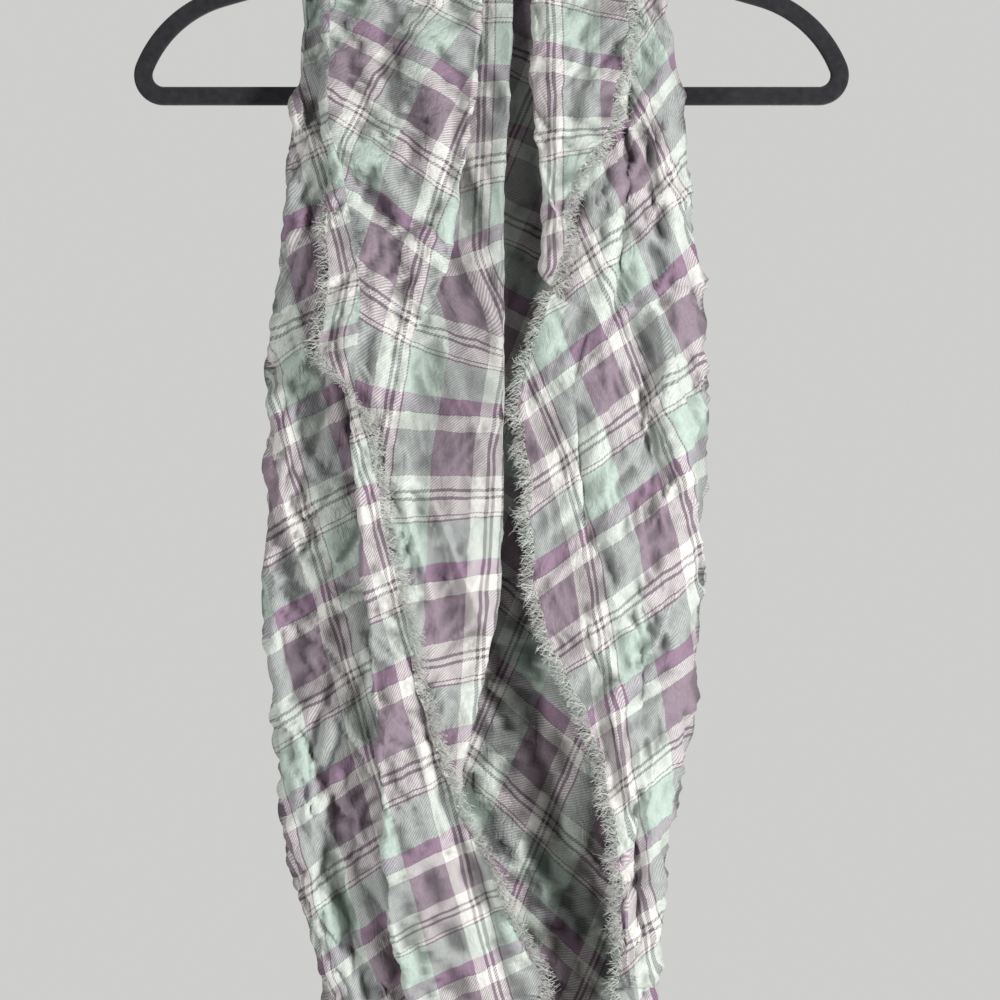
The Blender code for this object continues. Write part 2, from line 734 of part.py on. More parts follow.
def build_hanger_hook():
    radius = HOOK_INSIDE + WIRE_RADIUS
    join = (radius * math.cos(HOOK_JOIN), -HOOK_INSIDE + radius * math.sin(HOOK_JOIN))
    heading = HOOK_JOIN + math.pi / 2
    swing = math.pi / 2 - heading
    bend = join[0] / (1 - math.cos(swing))
    foot = join[1] - bend * math.sin(swing)
    points = [(0.0, arm_top(0.0) + SEAM), (0.0, (arm_top(0.0) + foot) / 2)]
    for step in range(HOOK_BEND_STEPS):
        angle = swing * step / HOOK_BEND_STEPS
        points.append((bend * (1 - math.cos(angle)), foot + bend * math.sin(angle)))
    for step in range(HOOK_TURN_STEPS + 1):
        angle = HOOK_JOIN + (HOOK_TIP - HOOK_JOIN) * step / HOOK_TURN_STEPS
        points.append((radius * math.cos(angle), -HOOK_INSIDE + radius * math.sin(angle)))
    curve = bpy.data.curves.new("hanger_hook", "CURVE")
    curve.dimensions = "3D"
    curve.bevel_depth = WIRE_RADIUS * MM
    curve.bevel_resolution = 2
    curve.use_fill_caps = True
    spline = curve.splines.new("POLY")
    spline.points.add(len(points) - 1)
    for point, (x, z) in zip(spline.points, points):
        point.co = (x * MM, 0.0, z * MM, 1.0)
    place("hanger_hook", curve, STEEL_SKIN)


clear_scene()
bpy.context.scene.collection.children.link(bpy.data.collections.new("infinity_scarf_on_hanger"))
build_hanger_frame()
build_hanger_hook()
build_neck()
build_left_strand()
build_right_strand()
build_bottom()
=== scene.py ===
import math

import bpy
import numpy as np
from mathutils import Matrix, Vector


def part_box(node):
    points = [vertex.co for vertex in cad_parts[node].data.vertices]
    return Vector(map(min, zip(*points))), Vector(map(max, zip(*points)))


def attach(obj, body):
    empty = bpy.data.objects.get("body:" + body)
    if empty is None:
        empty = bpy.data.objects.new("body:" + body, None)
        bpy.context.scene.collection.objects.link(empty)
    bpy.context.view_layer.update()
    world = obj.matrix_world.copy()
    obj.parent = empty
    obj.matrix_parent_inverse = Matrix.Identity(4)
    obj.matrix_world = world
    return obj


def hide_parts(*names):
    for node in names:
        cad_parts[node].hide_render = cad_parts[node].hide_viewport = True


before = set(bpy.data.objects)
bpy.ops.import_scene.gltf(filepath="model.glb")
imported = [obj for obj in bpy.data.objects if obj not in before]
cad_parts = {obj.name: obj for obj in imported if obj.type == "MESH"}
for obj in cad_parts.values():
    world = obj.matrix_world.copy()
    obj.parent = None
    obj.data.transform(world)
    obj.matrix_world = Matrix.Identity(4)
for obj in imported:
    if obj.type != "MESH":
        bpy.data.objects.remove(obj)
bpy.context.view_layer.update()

MM = 0.001


# ---------------- meshes and materials

def mesh_piece(name, points, faces, material, body="root"):
    """A smooth-shaded mesh from points in millimetres."""
    mesh = bpy.data.meshes.new(name)
    mesh.from_pydata((np.asarray(points, float) * MM).tolist(), [], faces)
    mesh.shade_smooth()
    mesh.materials.append(material)
    piece = bpy.data.objects.new(name, mesh)
    bpy.context.scene.collection.objects.link(piece)
    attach(piece, body)
    return piece


def feed(tree, node, inputs):
    """Set a node's inputs, each to a value or to another node's output."""
    for name, given in inputs.items():
        if isinstance(given, bpy.types.NodeSocket):
            tree.links.new(given, node.inputs[name])
        else:
            node.inputs[name].default_value = given


def add_node(tree, kind, inputs, operation=None):
    made = tree.nodes.new("ShaderNode" + kind)
    if operation:
        made.operation = operation
    feed(tree, made, inputs)
    return made


def work_out(tree, operation, *values):
    return add_node(tree, "Math", dict(enumerate(values)), operation).outputs[0]


def scaled(tree, colour, factor):
    inputs = {"Vector": colour, "Scale": factor}
    return add_node(tree, "VectorMath", inputs, "SCALE").outputs["Vector"]


def mixed(tree, share, first, second):
    made = tree.nodes.new("ShaderNodeMix")
    made.data_type = "RGBA"
    feed(tree, made, {"Factor": share, "A": first, "B": second})
    return made.outputs["Result"]


def ranged(tree, value, low, high, first, last):
    """A value from low to high as one from first to last."""
    names = ("From Min", "From Max", "To Min", "To Max")
    inputs = {"Value": value, **dict(zip(names, (low, high, first, last)))}
    return add_node(tree, "MapRange", inputs).outputs["Result"]


def noise(tree, place, scale, detail, distortion=0.0):
    inputs = {"Vector": place, "Scale": scale, "Detail": detail, "Distortion": distortion}
    return add_node(tree, "TexNoise", inputs).outputs


def speckle(tree, scale):
    """Noise fixed to the object."""
    return noise(tree, add_node(tree, "TexCoord", {}).outputs["Object"], scale, 3.0)["Fac"]


def bump(tree, height, strength, distance):
    inputs = {"Height": height, "Strength": strength, "Distance": distance}
    return add_node(tree, "Bump", inputs).outputs["Normal"]


def ramp(tree, value, stops, interpolation="LINEAR"):
    made = add_node(tree, "ValToRGB", {"Fac": value})
    made.color_ramp.interpolation = interpolation
    ends = made.color_ramp.elements
    for number, (position, colour) in enumerate(stops):
        stop = ends[number] if number < 2 else ends.new(position)
        stop.position = position
        stop.color = colour
    return made.outputs["Color"]


def new_material(name, inputs):
    made = bpy.data.materials.new(name)
    made.use_nodes = True
    shader = made.node_tree.nodes["Principled BSDF"]
    feed(made.node_tree, shader, inputs)
    return made, made.node_tree, shader


# ---------------- hanger frame
# One flat rail bent into a triangle, moulded and flocked black. Its rounded edges run
# all the way round, and the cloth rests on its arms. Angles are measured from straight up.

RAIL_WIDTH = 11.5
RAIL_THICKNESS = 5.0
RAIL_EDGE = 2.1
RAIL_EDGE_STEPS = 5
SHOULDER_SLOPE = math.radians(16.0)
SHOULDER_END = math.radians(68.0)
SHOULDER_RADIUS = 74.0
CORNER_RADIUS = 13.0
ARC_STEPS = 28
CORNER_STEPS = 24
FLOCK_COLOUR = (0.010, 0.010, 0.014, 1.0)
FLOCK_DUST = (0.028, 0.028, 0.034, 1.0)

frame_low, frame_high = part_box("hanger_frame")
SPAN = (frame_high.x - frame_low.x) / MM
BAR_LEVEL = frame_low.z / MM + RAIL_WIDTH / 2
CORNER = (SPAN / 2 - RAIL_WIDTH / 2 - CORNER_RADIUS, CORNER_RADIUS)
SHOULDER = (
    CORNER[0] + (CORNER_RADIUS - SHOULDER_RADIUS) * math.sin(SHOULDER_END),
    CORNER[1] + (CORNER_RADIUS - SHOULDER_RADIUS) * math.cos(SHOULDER_END),
)


def make_flock():
    made, tree, shader = new_material("black_flocking", {
        "Roughness": 0.92, "Sheen Weight": 0.35, "Sheen Roughness": 0.5,
    })
    feed(tree, shader, {
        "Base Color": ramp(tree, speckle(tree, 260.0), ((0.35, FLOCK_COLOUR), (0.85, FLOCK_DUST))),
        "Normal": bump(tree, speckle(tree, 2400.0), 0.6, 0.0004),
    })
    return made


def arc(centre, radius, start, end, steps):
    angles = [start + (end - start) * step / steps for step in range(steps + 1)]
    return [(centre[0] + radius * math.sin(a), centre[1] + radius * math.cos(a)) for a in angles]


def hanger_outline(offset):
    """The rail's loop at a distance outside its middle line, going round from the peak."""
    half = arc(SHOULDER, SHOULDER_RADIUS + offset, SHOULDER_SLOPE, SHOULDER_END, ARC_STEPS)
    half += arc(CORNER, CORNER_RADIUS + offset, SHOULDER_END, math.pi, CORNER_STEPS)[1:]
    peak = (0.0, half[0][1] + half[0][0] * math.tan(SHOULDER_SLOPE))
    return [peak] + half + [(-x, z) for x, z in reversed(half)]


def rail_rim():
    """The rail's section: offsets across it and depths through it, going round."""
    rim = []
    for turn in range(4):
        across = (RAIL_WIDTH / 2 - RAIL_EDGE) * (1 if turn in (0, 3) else -1)
        through = (RAIL_THICKNESS / 2 - RAIL_EDGE) * (1 if turn in (0, 1) else -1)
        for step in range(RAIL_EDGE_STEPS + 1):
            angle = math.pi / 2 * (turn + step / RAIL_EDGE_STEPS)
            out, over = RAIL_EDGE * math.cos(angle), RAIL_EDGE * math.sin(angle)
            rim.append((across + out, through + over))
    return rim


def make_hanger_frame():
    """The rail's section carried round its loop."""
    rim = rail_rim()
    points = []
    for offset, depth in rim:
        points += [(x, -depth, BAR_LEVEL + z) for x, z in hanger_outline(offset)]
    here = np.arange(len(points)).reshape(len(rim), -1)
    there = np.roll(here, -1, axis=0)
    faces = np.stack([here, np.roll(here, -1, axis=1), np.roll(there, -1, axis=1), there], axis=-1)
    return mesh_piece("hanger_frame_flocked", points, faces.reshape(-1, 4).tolist(), make_flock())


hanger = make_hanger_frame()
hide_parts("hanger_frame")


# ---------------- hook
# A bent steel wire, plated bright, set in the peak of the frame. It swings up round the
# rod and ends in a blunt tip.

STEEL_COLOUR = (0.74, 0.74, 0.75, 1.0)


def make_hook_finish():
    made, tree, shader = new_material("plated_steel", {"Base Color": STEEL_COLOUR, "Metallic": 1.0})
    feed(tree, shader, {"Roughness": ranged(tree, speckle(tree, 900.0), 0.0, 1.0, 0.10, 0.26)})
    return made


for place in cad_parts["hanger_hook"].material_slots:
    place.material = make_hook_finish()


# ---------------- plaid gauze
# Crinkled yarn-dyed cotton gauze. Warp and weft are striped in mint, cream and mauve with
# fine pins, and cross in a twill, so each colour shows at half strength over the other.

MINT = (196, 212, 202)
CREAM = (236, 234, 229)
MAUVE = (154, 138, 149)
PURPLE = (156, 122, 151)
PIN = (120, 108, 116)

# Stripes in order, as colour and width in millimetres. Each repeat starts at its first band.
WEFT = (
    (PURPLE, 10), (PIN, 1), (CREAM, 10), (MAUVE, 29), (CREAM, 8), (PIN, 2), (CREAM, 3), (PIN, 2),
    (CREAM, 9), (PIN, 1), (CREAM, 2), (PIN, 1), (MINT, 27),
)
WARP = (
    (PIN, 2), (CREAM, 1.5), (PIN, 2), (CREAM, 4), (PIN, 1), (MINT, 22.5), (MAUVE, 25), (CREAM, 8),
)
WEFT_REPEAT = sum(width for _, width in WEFT)
WARP_REPEAT = sum(width for _, width in WARP)
TWILL = 2.0
TWILL_SHARE = (0.12, 0.88)
WAVER = 0.035
WORN = (0.86, 1.08)
YARN_PALE = 0.5
GAUZE_BUMP = 0.0005
CREASE_BUMP = 6.0


def light(colour):
    """An on-screen colour, out of 255, as the light it stands for."""
    return [((c / 255 + 0.055) / 1.055) ** 2.4 for c in colour] + [1.0]


def stripes(tree, along, table, repeat, start):
    """A table of stripes, repeated, with the first start millimetres centred on whole numbers."""
    stops = []
    done = 0.0
    for colour, width in table:
        stops.append((done / repeat, light(colour)))
        done += width
    spot = work_out(tree, "FRACT", work_out(tree, "ADD", along, start / 2 / repeat))
    return ramp(tree, spot, stops, "CONSTANT")


def make_plaid_group():
    """The plaid's colour and relief at a place given in repeats of weft and of warp."""
    group = bpy.data.node_groups.new("plaid_weave", "ShaderNodeTree")
    group.interface.new_socket("Place", in_out="INPUT", socket_type="NodeSocketVector")
    group.interface.new_socket("Color", in_out="OUTPUT", socket_type="NodeSocketColor")
    group.interface.new_socket("Height", in_out="OUTPUT", socket_type="NodeSocketFloat")
    place = group.nodes.new("NodeGroupInput").outputs["Place"]
    waver = noise(group, place, 5.0, 2.0)["Color"]
    bent = {0: waver, 1: (WAVER, WAVER, 0.0), 2: place}
    drift = add_node(group, "VectorMath", bent, "MULTIPLY_ADD").outputs["Vector"]
    parts = add_node(group, "SeparateXYZ", {"Vector": drift}).outputs
    weft = stripes(group, parts["X"], WEFT, WEFT_REPEAT, WEFT[0][1])
    warp = stripes(group, parts["Y"], WARP, WARP_REPEAT, WARP[0][1] * 2 + WARP[1][1])
    down = work_out(group, "MULTIPLY", parts["X"], WEFT_REPEAT / TWILL)
    over = work_out(group, "MULTIPLY", parts["Y"], WARP_REPEAT / TWILL)
    rib = work_out(group, "FRACT", work_out(group, "ADD", down, over))
    rise = work_out(group, "PINGPONG", rib, 0.5)
    woven = mixed(group, ranged(group, rise, 0.0, 0.5, *TWILL_SHARE), weft, warp)
    slub = noise(group, place, 34.0, 5.0)["Fac"]
    crease = noise(group, place, 9.0, 4.0, 0.8)["Fac"]
    ridge = work_out(group, "ABSOLUTE", work_out(group, "SUBTRACT", crease, 0.5))
    raised = work_out(group, "MULTIPLY", ridge, -CREASE_BUMP)
    thread = work_out(group, "ADD", work_out(group, "MULTIPLY", rise, 0.5), slub)
    feed(group, group.nodes.new("NodeGroupOutput"), {
        "Color": scaled(group, woven, ranged(group, slub, 0.25, 0.75, *WORN)),
        "Height": work_out(group, "ADD", thread, raised),
    })
    return group


PLAID = make_plaid_group()


def make_gauze(name, roughness, bumpy, pale=0.0):
    made, tree, shader = new_material(name, {
        "Roughness": roughness, "Specular IOR Level": 0.2, "Sheen Weight": 0.25,
    })
    place = add_node(tree, "UVMap", {})
    place.uv_map = "cloth"
    plaid = tree.nodes.new("ShaderNodeGroup")
    plaid.node_tree = PLAID
    feed(tree, plaid, {"Place": place.outputs["UV"]})
    # Painted shade: the base colour is multiplied by a stored factor that darkens creases and the
    # pocket behind the pleat and pales ridges; on yarns the factor is their random tone.
    relief = add_node(tree, "Attribute", {})
    relief.attribute_name = "painted_shade_and_yarn_tone"
    faded = mixed(tree, pale, plaid.outputs["Color"], light(CREAM))
    feed(tree, shader, {
        "Base Color": scaled(tree, faded, relief.outputs["Fac"]),
        "Normal": bump(tree, plaid.outputs["Height"], bumpy, GAUZE_BUMP),
    })
    return made


GAUZE = make_gauze("crinkled_plaid_gauze", 0.9, 0.7)
YARN = make_gauze("frayed_plaid_yarn", 0.95, 0.2, YARN_PALE)


# ---------------- sections
# A strand is worked out as sections across it, each a run of places and depths, joined by
# levels down it. Places are measured from the hanger's middle, drops from its bar and depths
# forward of it. Past PIVOT_DROP the left strand swings round the pivot into the lower turn.

CLOTH = 0.6
BACK_DEPTH = 10.0
ROLL_LENGTH = 11.0
PIVOT_X = 53.0
PIVOT_DROP = 546.0
TURN_RATE = 2.0
NECK_TOP_DROP = -58.0
CROTCH_DROP = 300.0
FOLD_STEPS = 12
RUN_STEP = 6
ROLL_STEPS = 8
STRIP_STEPS = 14
LEVEL_STEP = 2.4

# The frayed strip beyond the left front fold. It turns under at the top, lies open below
# that, then flips over to the front and widens into a lapel.
LAPEL = (
    ("level", "turn", "length", "fray"),
    (-50, -180, 5, 3),
    (10, -180, 3, 2.5),
    (50, -100, 2, 2),
    (85, 0, 4, 8),
    (130, 0, 10, 9),
    (160, 0, 13, 9),
    (183, 90, 2, 5),
    (205, 170, 8, 9),
    (250, 180, 9, 9),
    (310, 180, 19, 9),
    (370, 180, 26, 9),
    (430, 180, 42, 9),
    (490, 180, 67, 9),
    (546, 180, 78, 9),
    (586, 180, 66, 9),
    (622, 180, 50, 9),
)


def smooth(knots, values, at):
    """A cubic through the knots that doesn't overshoot between them."""
    knots = np.asarray(knots, float)
    values = np.asarray(values, float)
    gaps = np.diff(knots)
    rises = np.diff(values) / gaps
    slopes = np.zeros(len(knots))
    slopes[0] = rises[0]
    slopes[-1] = rises[-1]
    for i in range(1, len(knots) - 1):
        if rises[i - 1] * rises[i] > 0:
            slopes[i] = 2.0 * rises[i - 1] * rises[i] / (rises[i - 1] + rises[i])
    at = min(max(at, knots[0]), knots[-1])
    i = min(int(np.searchsorted(knots, at, side="right")) - 1, len(gaps) - 1)
    t = (at - knots[i]) / gaps[i]
    return float(
        values[i] * (1 + 2 * t) * (1 - t) ** 2
        + values[i + 1] * t * t * (3 - 2 * t)
        + gaps[i] * t * (1 - t) * (slopes[i] * (1 - t) - slopes[i + 1] * t)
    )


def row_of(table, level):
    """Every column of a table at one level, by name."""
    names = table[0]
    knots = [row[0] for row in table[1:]]
    return {
        name: smooth(knots, [row[k] for row in table[1:]], level)
        for k, name in enumerate(names) if k
    }


def ease(t):
    t = np.clip(t, 0.0, 1.0)
    return t * t * (3 - 2 * t)

def fold(tip, facing, arrive, leave, reach=None):
    """Round a fold whose tip is at a reach, from one layer's depth to the next one's."""
    if reach is None:
        reach = (arrive - leave) / 2
    points = []
    for step in range(FOLD_STEPS + 1):
        angle = math.pi * (step / FOLD_STEPS - 0.5)
        points.append((
            tip - facing * reach * (1.0 - math.cos(angle)),
            (arrive + leave) / 2.0 + (leave - arrive) / 2.0 * math.sin(angle),
        ))
    return points


def between(start, end, share):
    """A point part of the way from start to end."""
    return (start[0] + (end[0] - start[0]) * share, start[1] + (end[1] - start[1]) * share)


def section(*parts):
    """Join named stretches of points with straight runs, given as a number of steps."""
    points = []
    marks = {}
    steps = 0
    for part in parts:
        if isinstance(part, int):
            steps = part * RUN_STEP
            continue
        name, stretch = part
        start = points[-1] if points else None
        points += [between(start, stretch[0], step / steps) for step in range(1, steps)]
        steps = 0
        marks[name] = len(points) + (FOLD_STEPS // 2 if len(stretch) == FOLD_STEPS + 1 else 0)
        points.extend(stretch)
    return points, marks


def back_folds(row, side_run, hem_run):
    """The last stretches of a section: round the side, over the back and in at the hem."""
    return (
        side_run, ("side", fold(row["side"], 1, row["outer"], row["back"])),
        4, ("turn", fold(row["turn"], -1, row["back"], row["rear"])),
        hem_run, ("hem", [(row["hem"], row["rear"])]),
    )


def lapel(level, start):
    """The frayed strip, walked out from the fold and turned as the table says, edge first."""
    row = row_of(LAPEL, level)
    heading = 0.0
    reach, depth = start
    points = [(reach, depth)]
    for step in range(ROLL_STEPS + STRIP_STEPS):
        rolling = step < ROLL_STEPS
        length = ROLL_LENGTH / ROLL_STEPS if rolling else row["length"] / STRIP_STEPS
        turn = math.radians(row["turn"]) / ROLL_STEPS if rolling else 0.0
        heading += turn / 2
        reach += length * math.cos(heading)
        depth += length * math.sin(heading)
        heading += turn / 2
        points.append((reach, depth))
    return points[::-1]


def zigzag(level, row):
    """The band folded with a pleat, from its frayed front edge to its back edge."""
    strip = lapel(level, (row["fold"] - ROLL_LENGTH / math.pi, row["front"]))
    middle = (row["front"] + row["under"]) / 2
    crisp = min((row["front"] - middle) / 2, 0.3 * (row["root"] - row["pleat"]))
    return section(
        ("edge", strip[:-1]), ("fold", [strip[-1]]),
        3, ("pleat", fold(row["pleat"], -1, row["front"], middle, crisp)),
        2, ("root", fold(row["root"], 1, middle, row["under"], crisp)),
        2, ("inner", fold(row["inner"], -1, row["under"], row["outer"])),
        *back_folds(row, 8, 1),
    )


def opened_out(points, first, last, share):
    """Move a stretch of a section part of the way to a straight line between its ends."""
    start, end = points[first], points[last]
    for k in range(first, last + 1):
        flat = between(start, end, (k - first) / (last - first))
        points[k] = between(points[k], flat, share)


def swung(radius, angle, depth):
    """A point of the lower turn, at an angle in degrees round the pivot."""
    swing = math.radians(angle)
    return (PIVOT_X - radius * math.cos(swing), PIVOT_DROP + radius * math.sin(swing), depth)


def level_point(side, level, reach, depth):
    """A section's point as place, drop and depth."""
    if side < 0 and level > PIVOT_DROP:
        return swung(reach + PIVOT_X, (level - PIVOT_DROP) / TURN_RATE, depth)
    return (side * reach, min(level, PIVOT_DROP), depth)


# ---------------- relief

# Crinkles of the gauze: wavelength along and across the strand, lean, height, and how sharp
# the ridges are.
CRINKLES = (
    (60.0, 15.0, -0.40, 2.2, 1.3),
    (34.0, 10.0, 0.55, 2.3, 1.8),
    (17.0, 7.0, -0.25, 1.5, 1.6),
)

# Larger folds that all of a strand's layers share, in the same terms.
ROLLS = (
    (120.0, 36.0, 0.20, 6.0, 1.0),
    (70.0, 19.0, -0.35, 7.0, 1.3),
)
CREASE_DEPTH = 1.5
CRINKLE_DRIFT = 0.9
CRINKLE_LEVEL = 0.45
CRINKLE_GAIN = 1.6
EDGE_FADE = 9.0

# Painted shade: how much a point sunk by a millimetre darkens, for each breadth of its
# surroundings in steps, then the least and most that it may be sunk, and the least and most light.
TROUGH_SHADES = ((2, 0.42), (6, 0.10))
SUNK_RANGE = (-0.6, 1.6)
SHADE_RANGE = (0.42, 1.12)


def spread(along, across, seed):
    """Smooth noise from 0 to 1 on a lattice with one knot to the unit."""
    low_i, low_j = np.floor(along), np.floor(across)
    part_i, part_j = ease(along - low_i), ease(across - low_j)

    def knot(i, j):
        wave = np.sin(i * 127.1 + j * 311.7 + seed * 74.7) * 43758.5453
        return wave - np.floor(wave)

    near = knot(low_i, low_j) * (1 - part_j) + knot(low_i, low_j + 1) * part_j
    far = knot(low_i + 1, low_j) * (1 - part_j) + knot(low_i + 1, low_j + 1) * part_j
    return near * (1 - part_i) + far * part_i


def ridged(along, across, sharp, seed):
    return (1.0 - np.abs(2.0 * spread(along, across, seed) - 1.0)) ** sharp


def crumple(along, across, seed):
    """How far crinkled gauze stands off a smooth sheet at each point."""
    total = np.zeros_like(along)
    drift_along = CRINKLE_DRIFT * spread(across / 45.0, along / 60.0, seed + 9)
    drift_across = CRINKLE_DRIFT * spread(along / 38.0, across / 50.0, seed + 5)
    for number, (length, width, lean, height, sharp) in enumerate(CRINKLES):
        a = along / length + drift_along
        b = (across + lean * along) / width + drift_across
        ridge = ridged(a, b, sharp, seed + 3.7 * number)
        total += height * (ridge - CRINKLE_LEVEL) * CRINKLE_GAIN
    return total


def unit(vectors):
    return vectors / np.maximum(np.linalg.norm(vectors, axis=-1, keepdims=True), 1e-9)


def unit_normals(grid):
    return unit(np.cross(np.gradient(grid, axis=1), np.gradient(grid, axis=0)))


def travelled(points, axis=0):
    """How far each point of a grid has come along its row or column."""
    steps = np.linalg.norm(np.diff(points, axis=axis), axis=-1)
    start = np.zeros_like(steps.take([0], axis=axis))
    return np.concatenate([start, np.cumsum(steps, axis=axis)], axis=axis)


def route_profile(x, drop, route, width):
    """A soft profile along a route, which thins out towards both ends."""
    best = np.full(x.shape, 1e9)
    share = np.zeros(x.shape)
    spans = [math.dist(a, b) for a, b in zip(route[:-1], route[1:])]
    done = 0.0
    for (ax, ad), (bx, bd), span in zip(route[:-1], route[1:], spans):
        t = np.clip(((x - ax) * (bx - ax) + (drop - ad) * (bd - ad)) / span ** 2, 0.0, 1.0)
        away = np.hypot(x - ax - t * (bx - ax), drop - ad - t * (bd - ad))
        nearer = away < best
        best = np.where(nearer, away, best)
        share = np.where(nearer, (done + t * span) / sum(spans), share)
        done += span
    taper = np.sqrt(np.clip(4.0 * share * (1.0 - share), 0.0, 1.0))
    return np.exp(-(best / (width * (0.7 + 0.3 * taper))) ** 2) * taper


def creased(grid, layers, creases):
    """Press routes of creases into the layers that they lie on, towards the front or back."""
    facing = np.abs(unit_normals(grid)[..., 2])
    out = grid.copy()
    for start, end, routes in creases:
        columns = slice(layers[start], layers[end] + 1)
        x, drop = grid[:, columns, 0], grid[:, columns, 1]
        push = np.zeros(x.shape)
        for route, height, width in routes:
            push += CREASE_DEPTH * height * route_profile(x, drop, route, width)
        out[:, columns, 2] += push * facing[:, columns]
    return out

def crinkled(grid, marks, heights, seed, levels=None):
    """Crinkle a grid. heights gives how strongly, at marks along the section."""
    across = travelled(grid, axis=1)
    if "side" in marks:
        across = across - across[:, [marks["side"]]]
    if levels is None:
        levels = travelled(grid).mean(axis=1)
    along = levels[:, None] + np.zeros(grid.shape[:2])
    columns = [marks[name] for name, _ in heights]
    strength = np.interp(np.arange(grid.shape[1]), columns, [height for _, height in heights])
    stand = crumple(along, across, seed) * strength[None, :]
    return grid + unit_normals(grid) * stand[..., None]


def rolling(grid, outer, span, swell, seed):
    """Round a strand out and let it undulate. All its front layers move together."""
    x, drop, depth = grid[..., 0], grid[..., 1], grid[..., 2]
    share = np.clip((x - span[0]) / (span[1] - span[0]), 0.0, 1.0)
    push = swell * np.sin(math.pi * share)
    for length, width, lean, height, sharp in ROLLS:
        ridge = ridged(drop / length, (x + lean * drop) / width, sharp, seed + width)
        push = push + height * (ridge - 0.5)
    free = ease((depth - BACK_DEPTH) / (outer - BACK_DEPTH))
    out = grid.copy()
    out[..., 2] += push * free
    return out


def wavy_edge(grid, levels, reach, seed):
    """Let a raw edge wander along the cloth, less and less away from it."""
    wander = np.zeros(len(levels))
    for length, height, shift in ((13.0, 1.0, 0), (31.0, 0.8, 2)):
        wander += height * (2.0 * spread(levels / length, levels * 0.0 + seed, seed + shift) - 1.0)
    fade = np.exp(-(travelled(grid, axis=1) / EDGE_FADE) ** 2)
    return grid - unit(grid[:, [3]] - grid[:, [0]]) * (wander[:, None] * reach * fade)[..., None]


def blurred(grid, reach):
    """The grid with each point moved to the middle of its neighbours."""
    for axis in (0, 1):
        total = np.zeros_like(grid)
        for step in range(-reach, reach + 1):
            take = np.clip(np.arange(grid.shape[axis]) + step, 0, grid.shape[axis] - 1)
            total += grid.take(take, axis=axis)
        grid = total / (2 * reach + 1)
    return grid


def trough_shade(grid):
    """Painted shade from the relief: the gauze's colour is darker down in a crease and paler on a
    ridge.
    """
    facing = np.abs(unit_normals(grid)[..., 2])
    shade = np.ones(grid.shape[:2])
    for reach, strength in TROUGH_SHADES:
        sunk = (blurred(grid, reach) - grid)[..., 2] * facing
        shade -= strength * np.clip(sunk, *SUNK_RANGE)
    return np.clip(shade, *SHADE_RANGE)


# ---------------- cloth pieces

def plaid_place(grid, lie):
    """Weft and warp repeats at each point of a layer."""
    x, drop = grid[..., 0], grid[..., 1]
    slant = np.interp(drop, *zip(*lie["slant"]))
    weft = np.interp(drop + (x - lie["reference"]) * slant, lie["weft"], range(len(lie["weft"])))
    lean = np.interp(drop, *zip(*lie["lean"]))
    warp = (x - lean - lie["pins"]) / WARP_REPEAT
    return np.stack([weft, warp], axis=-1)


def world_points(grid):
    """Places, drops and depths as points in the frame's own axes."""
    return np.stack([grid[..., 0], -grid[..., 2], BAR_LEVEL - grid[..., 1]], axis=-1).reshape(-1, 3)


def dress(piece, spots, shade, nodes):
    """Lay the plaid on a piece, store its painted shade (random tone on yarns) and hide what it
    replaces.
    """
    piece.data.uv_layers.new(name="cloth").data.foreach_set("uv", spots.ravel())
    shade_and_tone_layer = piece.data.attributes.new("painted_shade_and_yarn_tone", "FLOAT", "POINT")
    shade_and_tone_layer.data.foreach_set("value", shade.ravel())
    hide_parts(*nodes)


def cloth_piece(name, grid, layers, nodes, recess_shade=1.0):
    """A woven sheet from a grid. layers lists column ranges and where the plaid lies on each."""
    high, wide = grid.shape[:2]
    corner = np.arange(high * wide).reshape(high, wide)
    quads = np.stack([corner[:-1, :-1], corner[:-1, 1:], corner[1:, 1:], corner[1:, :-1]], axis=-1)
    piece = mesh_piece(name, world_points(grid), quads.reshape(-1, 4).tolist(), GAUZE)
    spots = np.zeros((high - 1, wide - 1, 4, 2))
    for first, last, place in layers:
        for number, (i, j) in enumerate(((0, 0), (0, 1), (1, 1), (1, 0))):
            spots[:, first:last, number] = place[i:i + high - 1, first + j:last + j]
    # The colour factor is painted shade: darker in creases, paler on ridges, times any painted
    # recess shade.
    dress(piece, spots, trough_shade(grid) * recess_shade, nodes)
    wall = piece.modifiers.new("thickness", "SOLIDIFY")
    wall.thickness = CLOTH * MM
    wall.offset = 0.0


def lay_plaid(grid, marks, lies):
    """Column ranges with the plaid laid on each. A layer may pass from one lie to another."""
    laid = []
    for start, end, lie, *later in lies:
        place = plaid_place(grid, lie)
        if later:
            other, first, last = later
            share = ease((grid[..., 1] - first) / (last - first))[..., None]
            after = plaid_place(grid, other)
            after = after + np.round(np.median(place - after, axis=(0, 1)))
            place = place * (1 - share) + after * share
        laid.append((marks[start], marks[end], place))
    return laid


def make_strand(side, last, make_section, waver, rolled, lies, creases, strength, seed):
    """A strand from the neck down to its last level, as its grid, marks, plaid and levels."""
    levels = np.linspace(NECK_TOP_DROP, last, int(round((last - NECK_TOP_DROP) / LEVEL_STEP)) + 1)
    sections = [make_section(level) for level in levels]
    grid = np.array([
        [level_point(side, level, *point) for point in points]
        for level, (points, _) in zip(levels, sections)
    ])
    marks = sections[0][1]
    grid = rolling(wavy_edge(grid, levels, *waver), *rolled)
    shaped = crinkled(creased(grid, marks, creases), marks, strength, seed, levels)
    return shaped, marks, lay_plaid(grid, marks, lies), levels


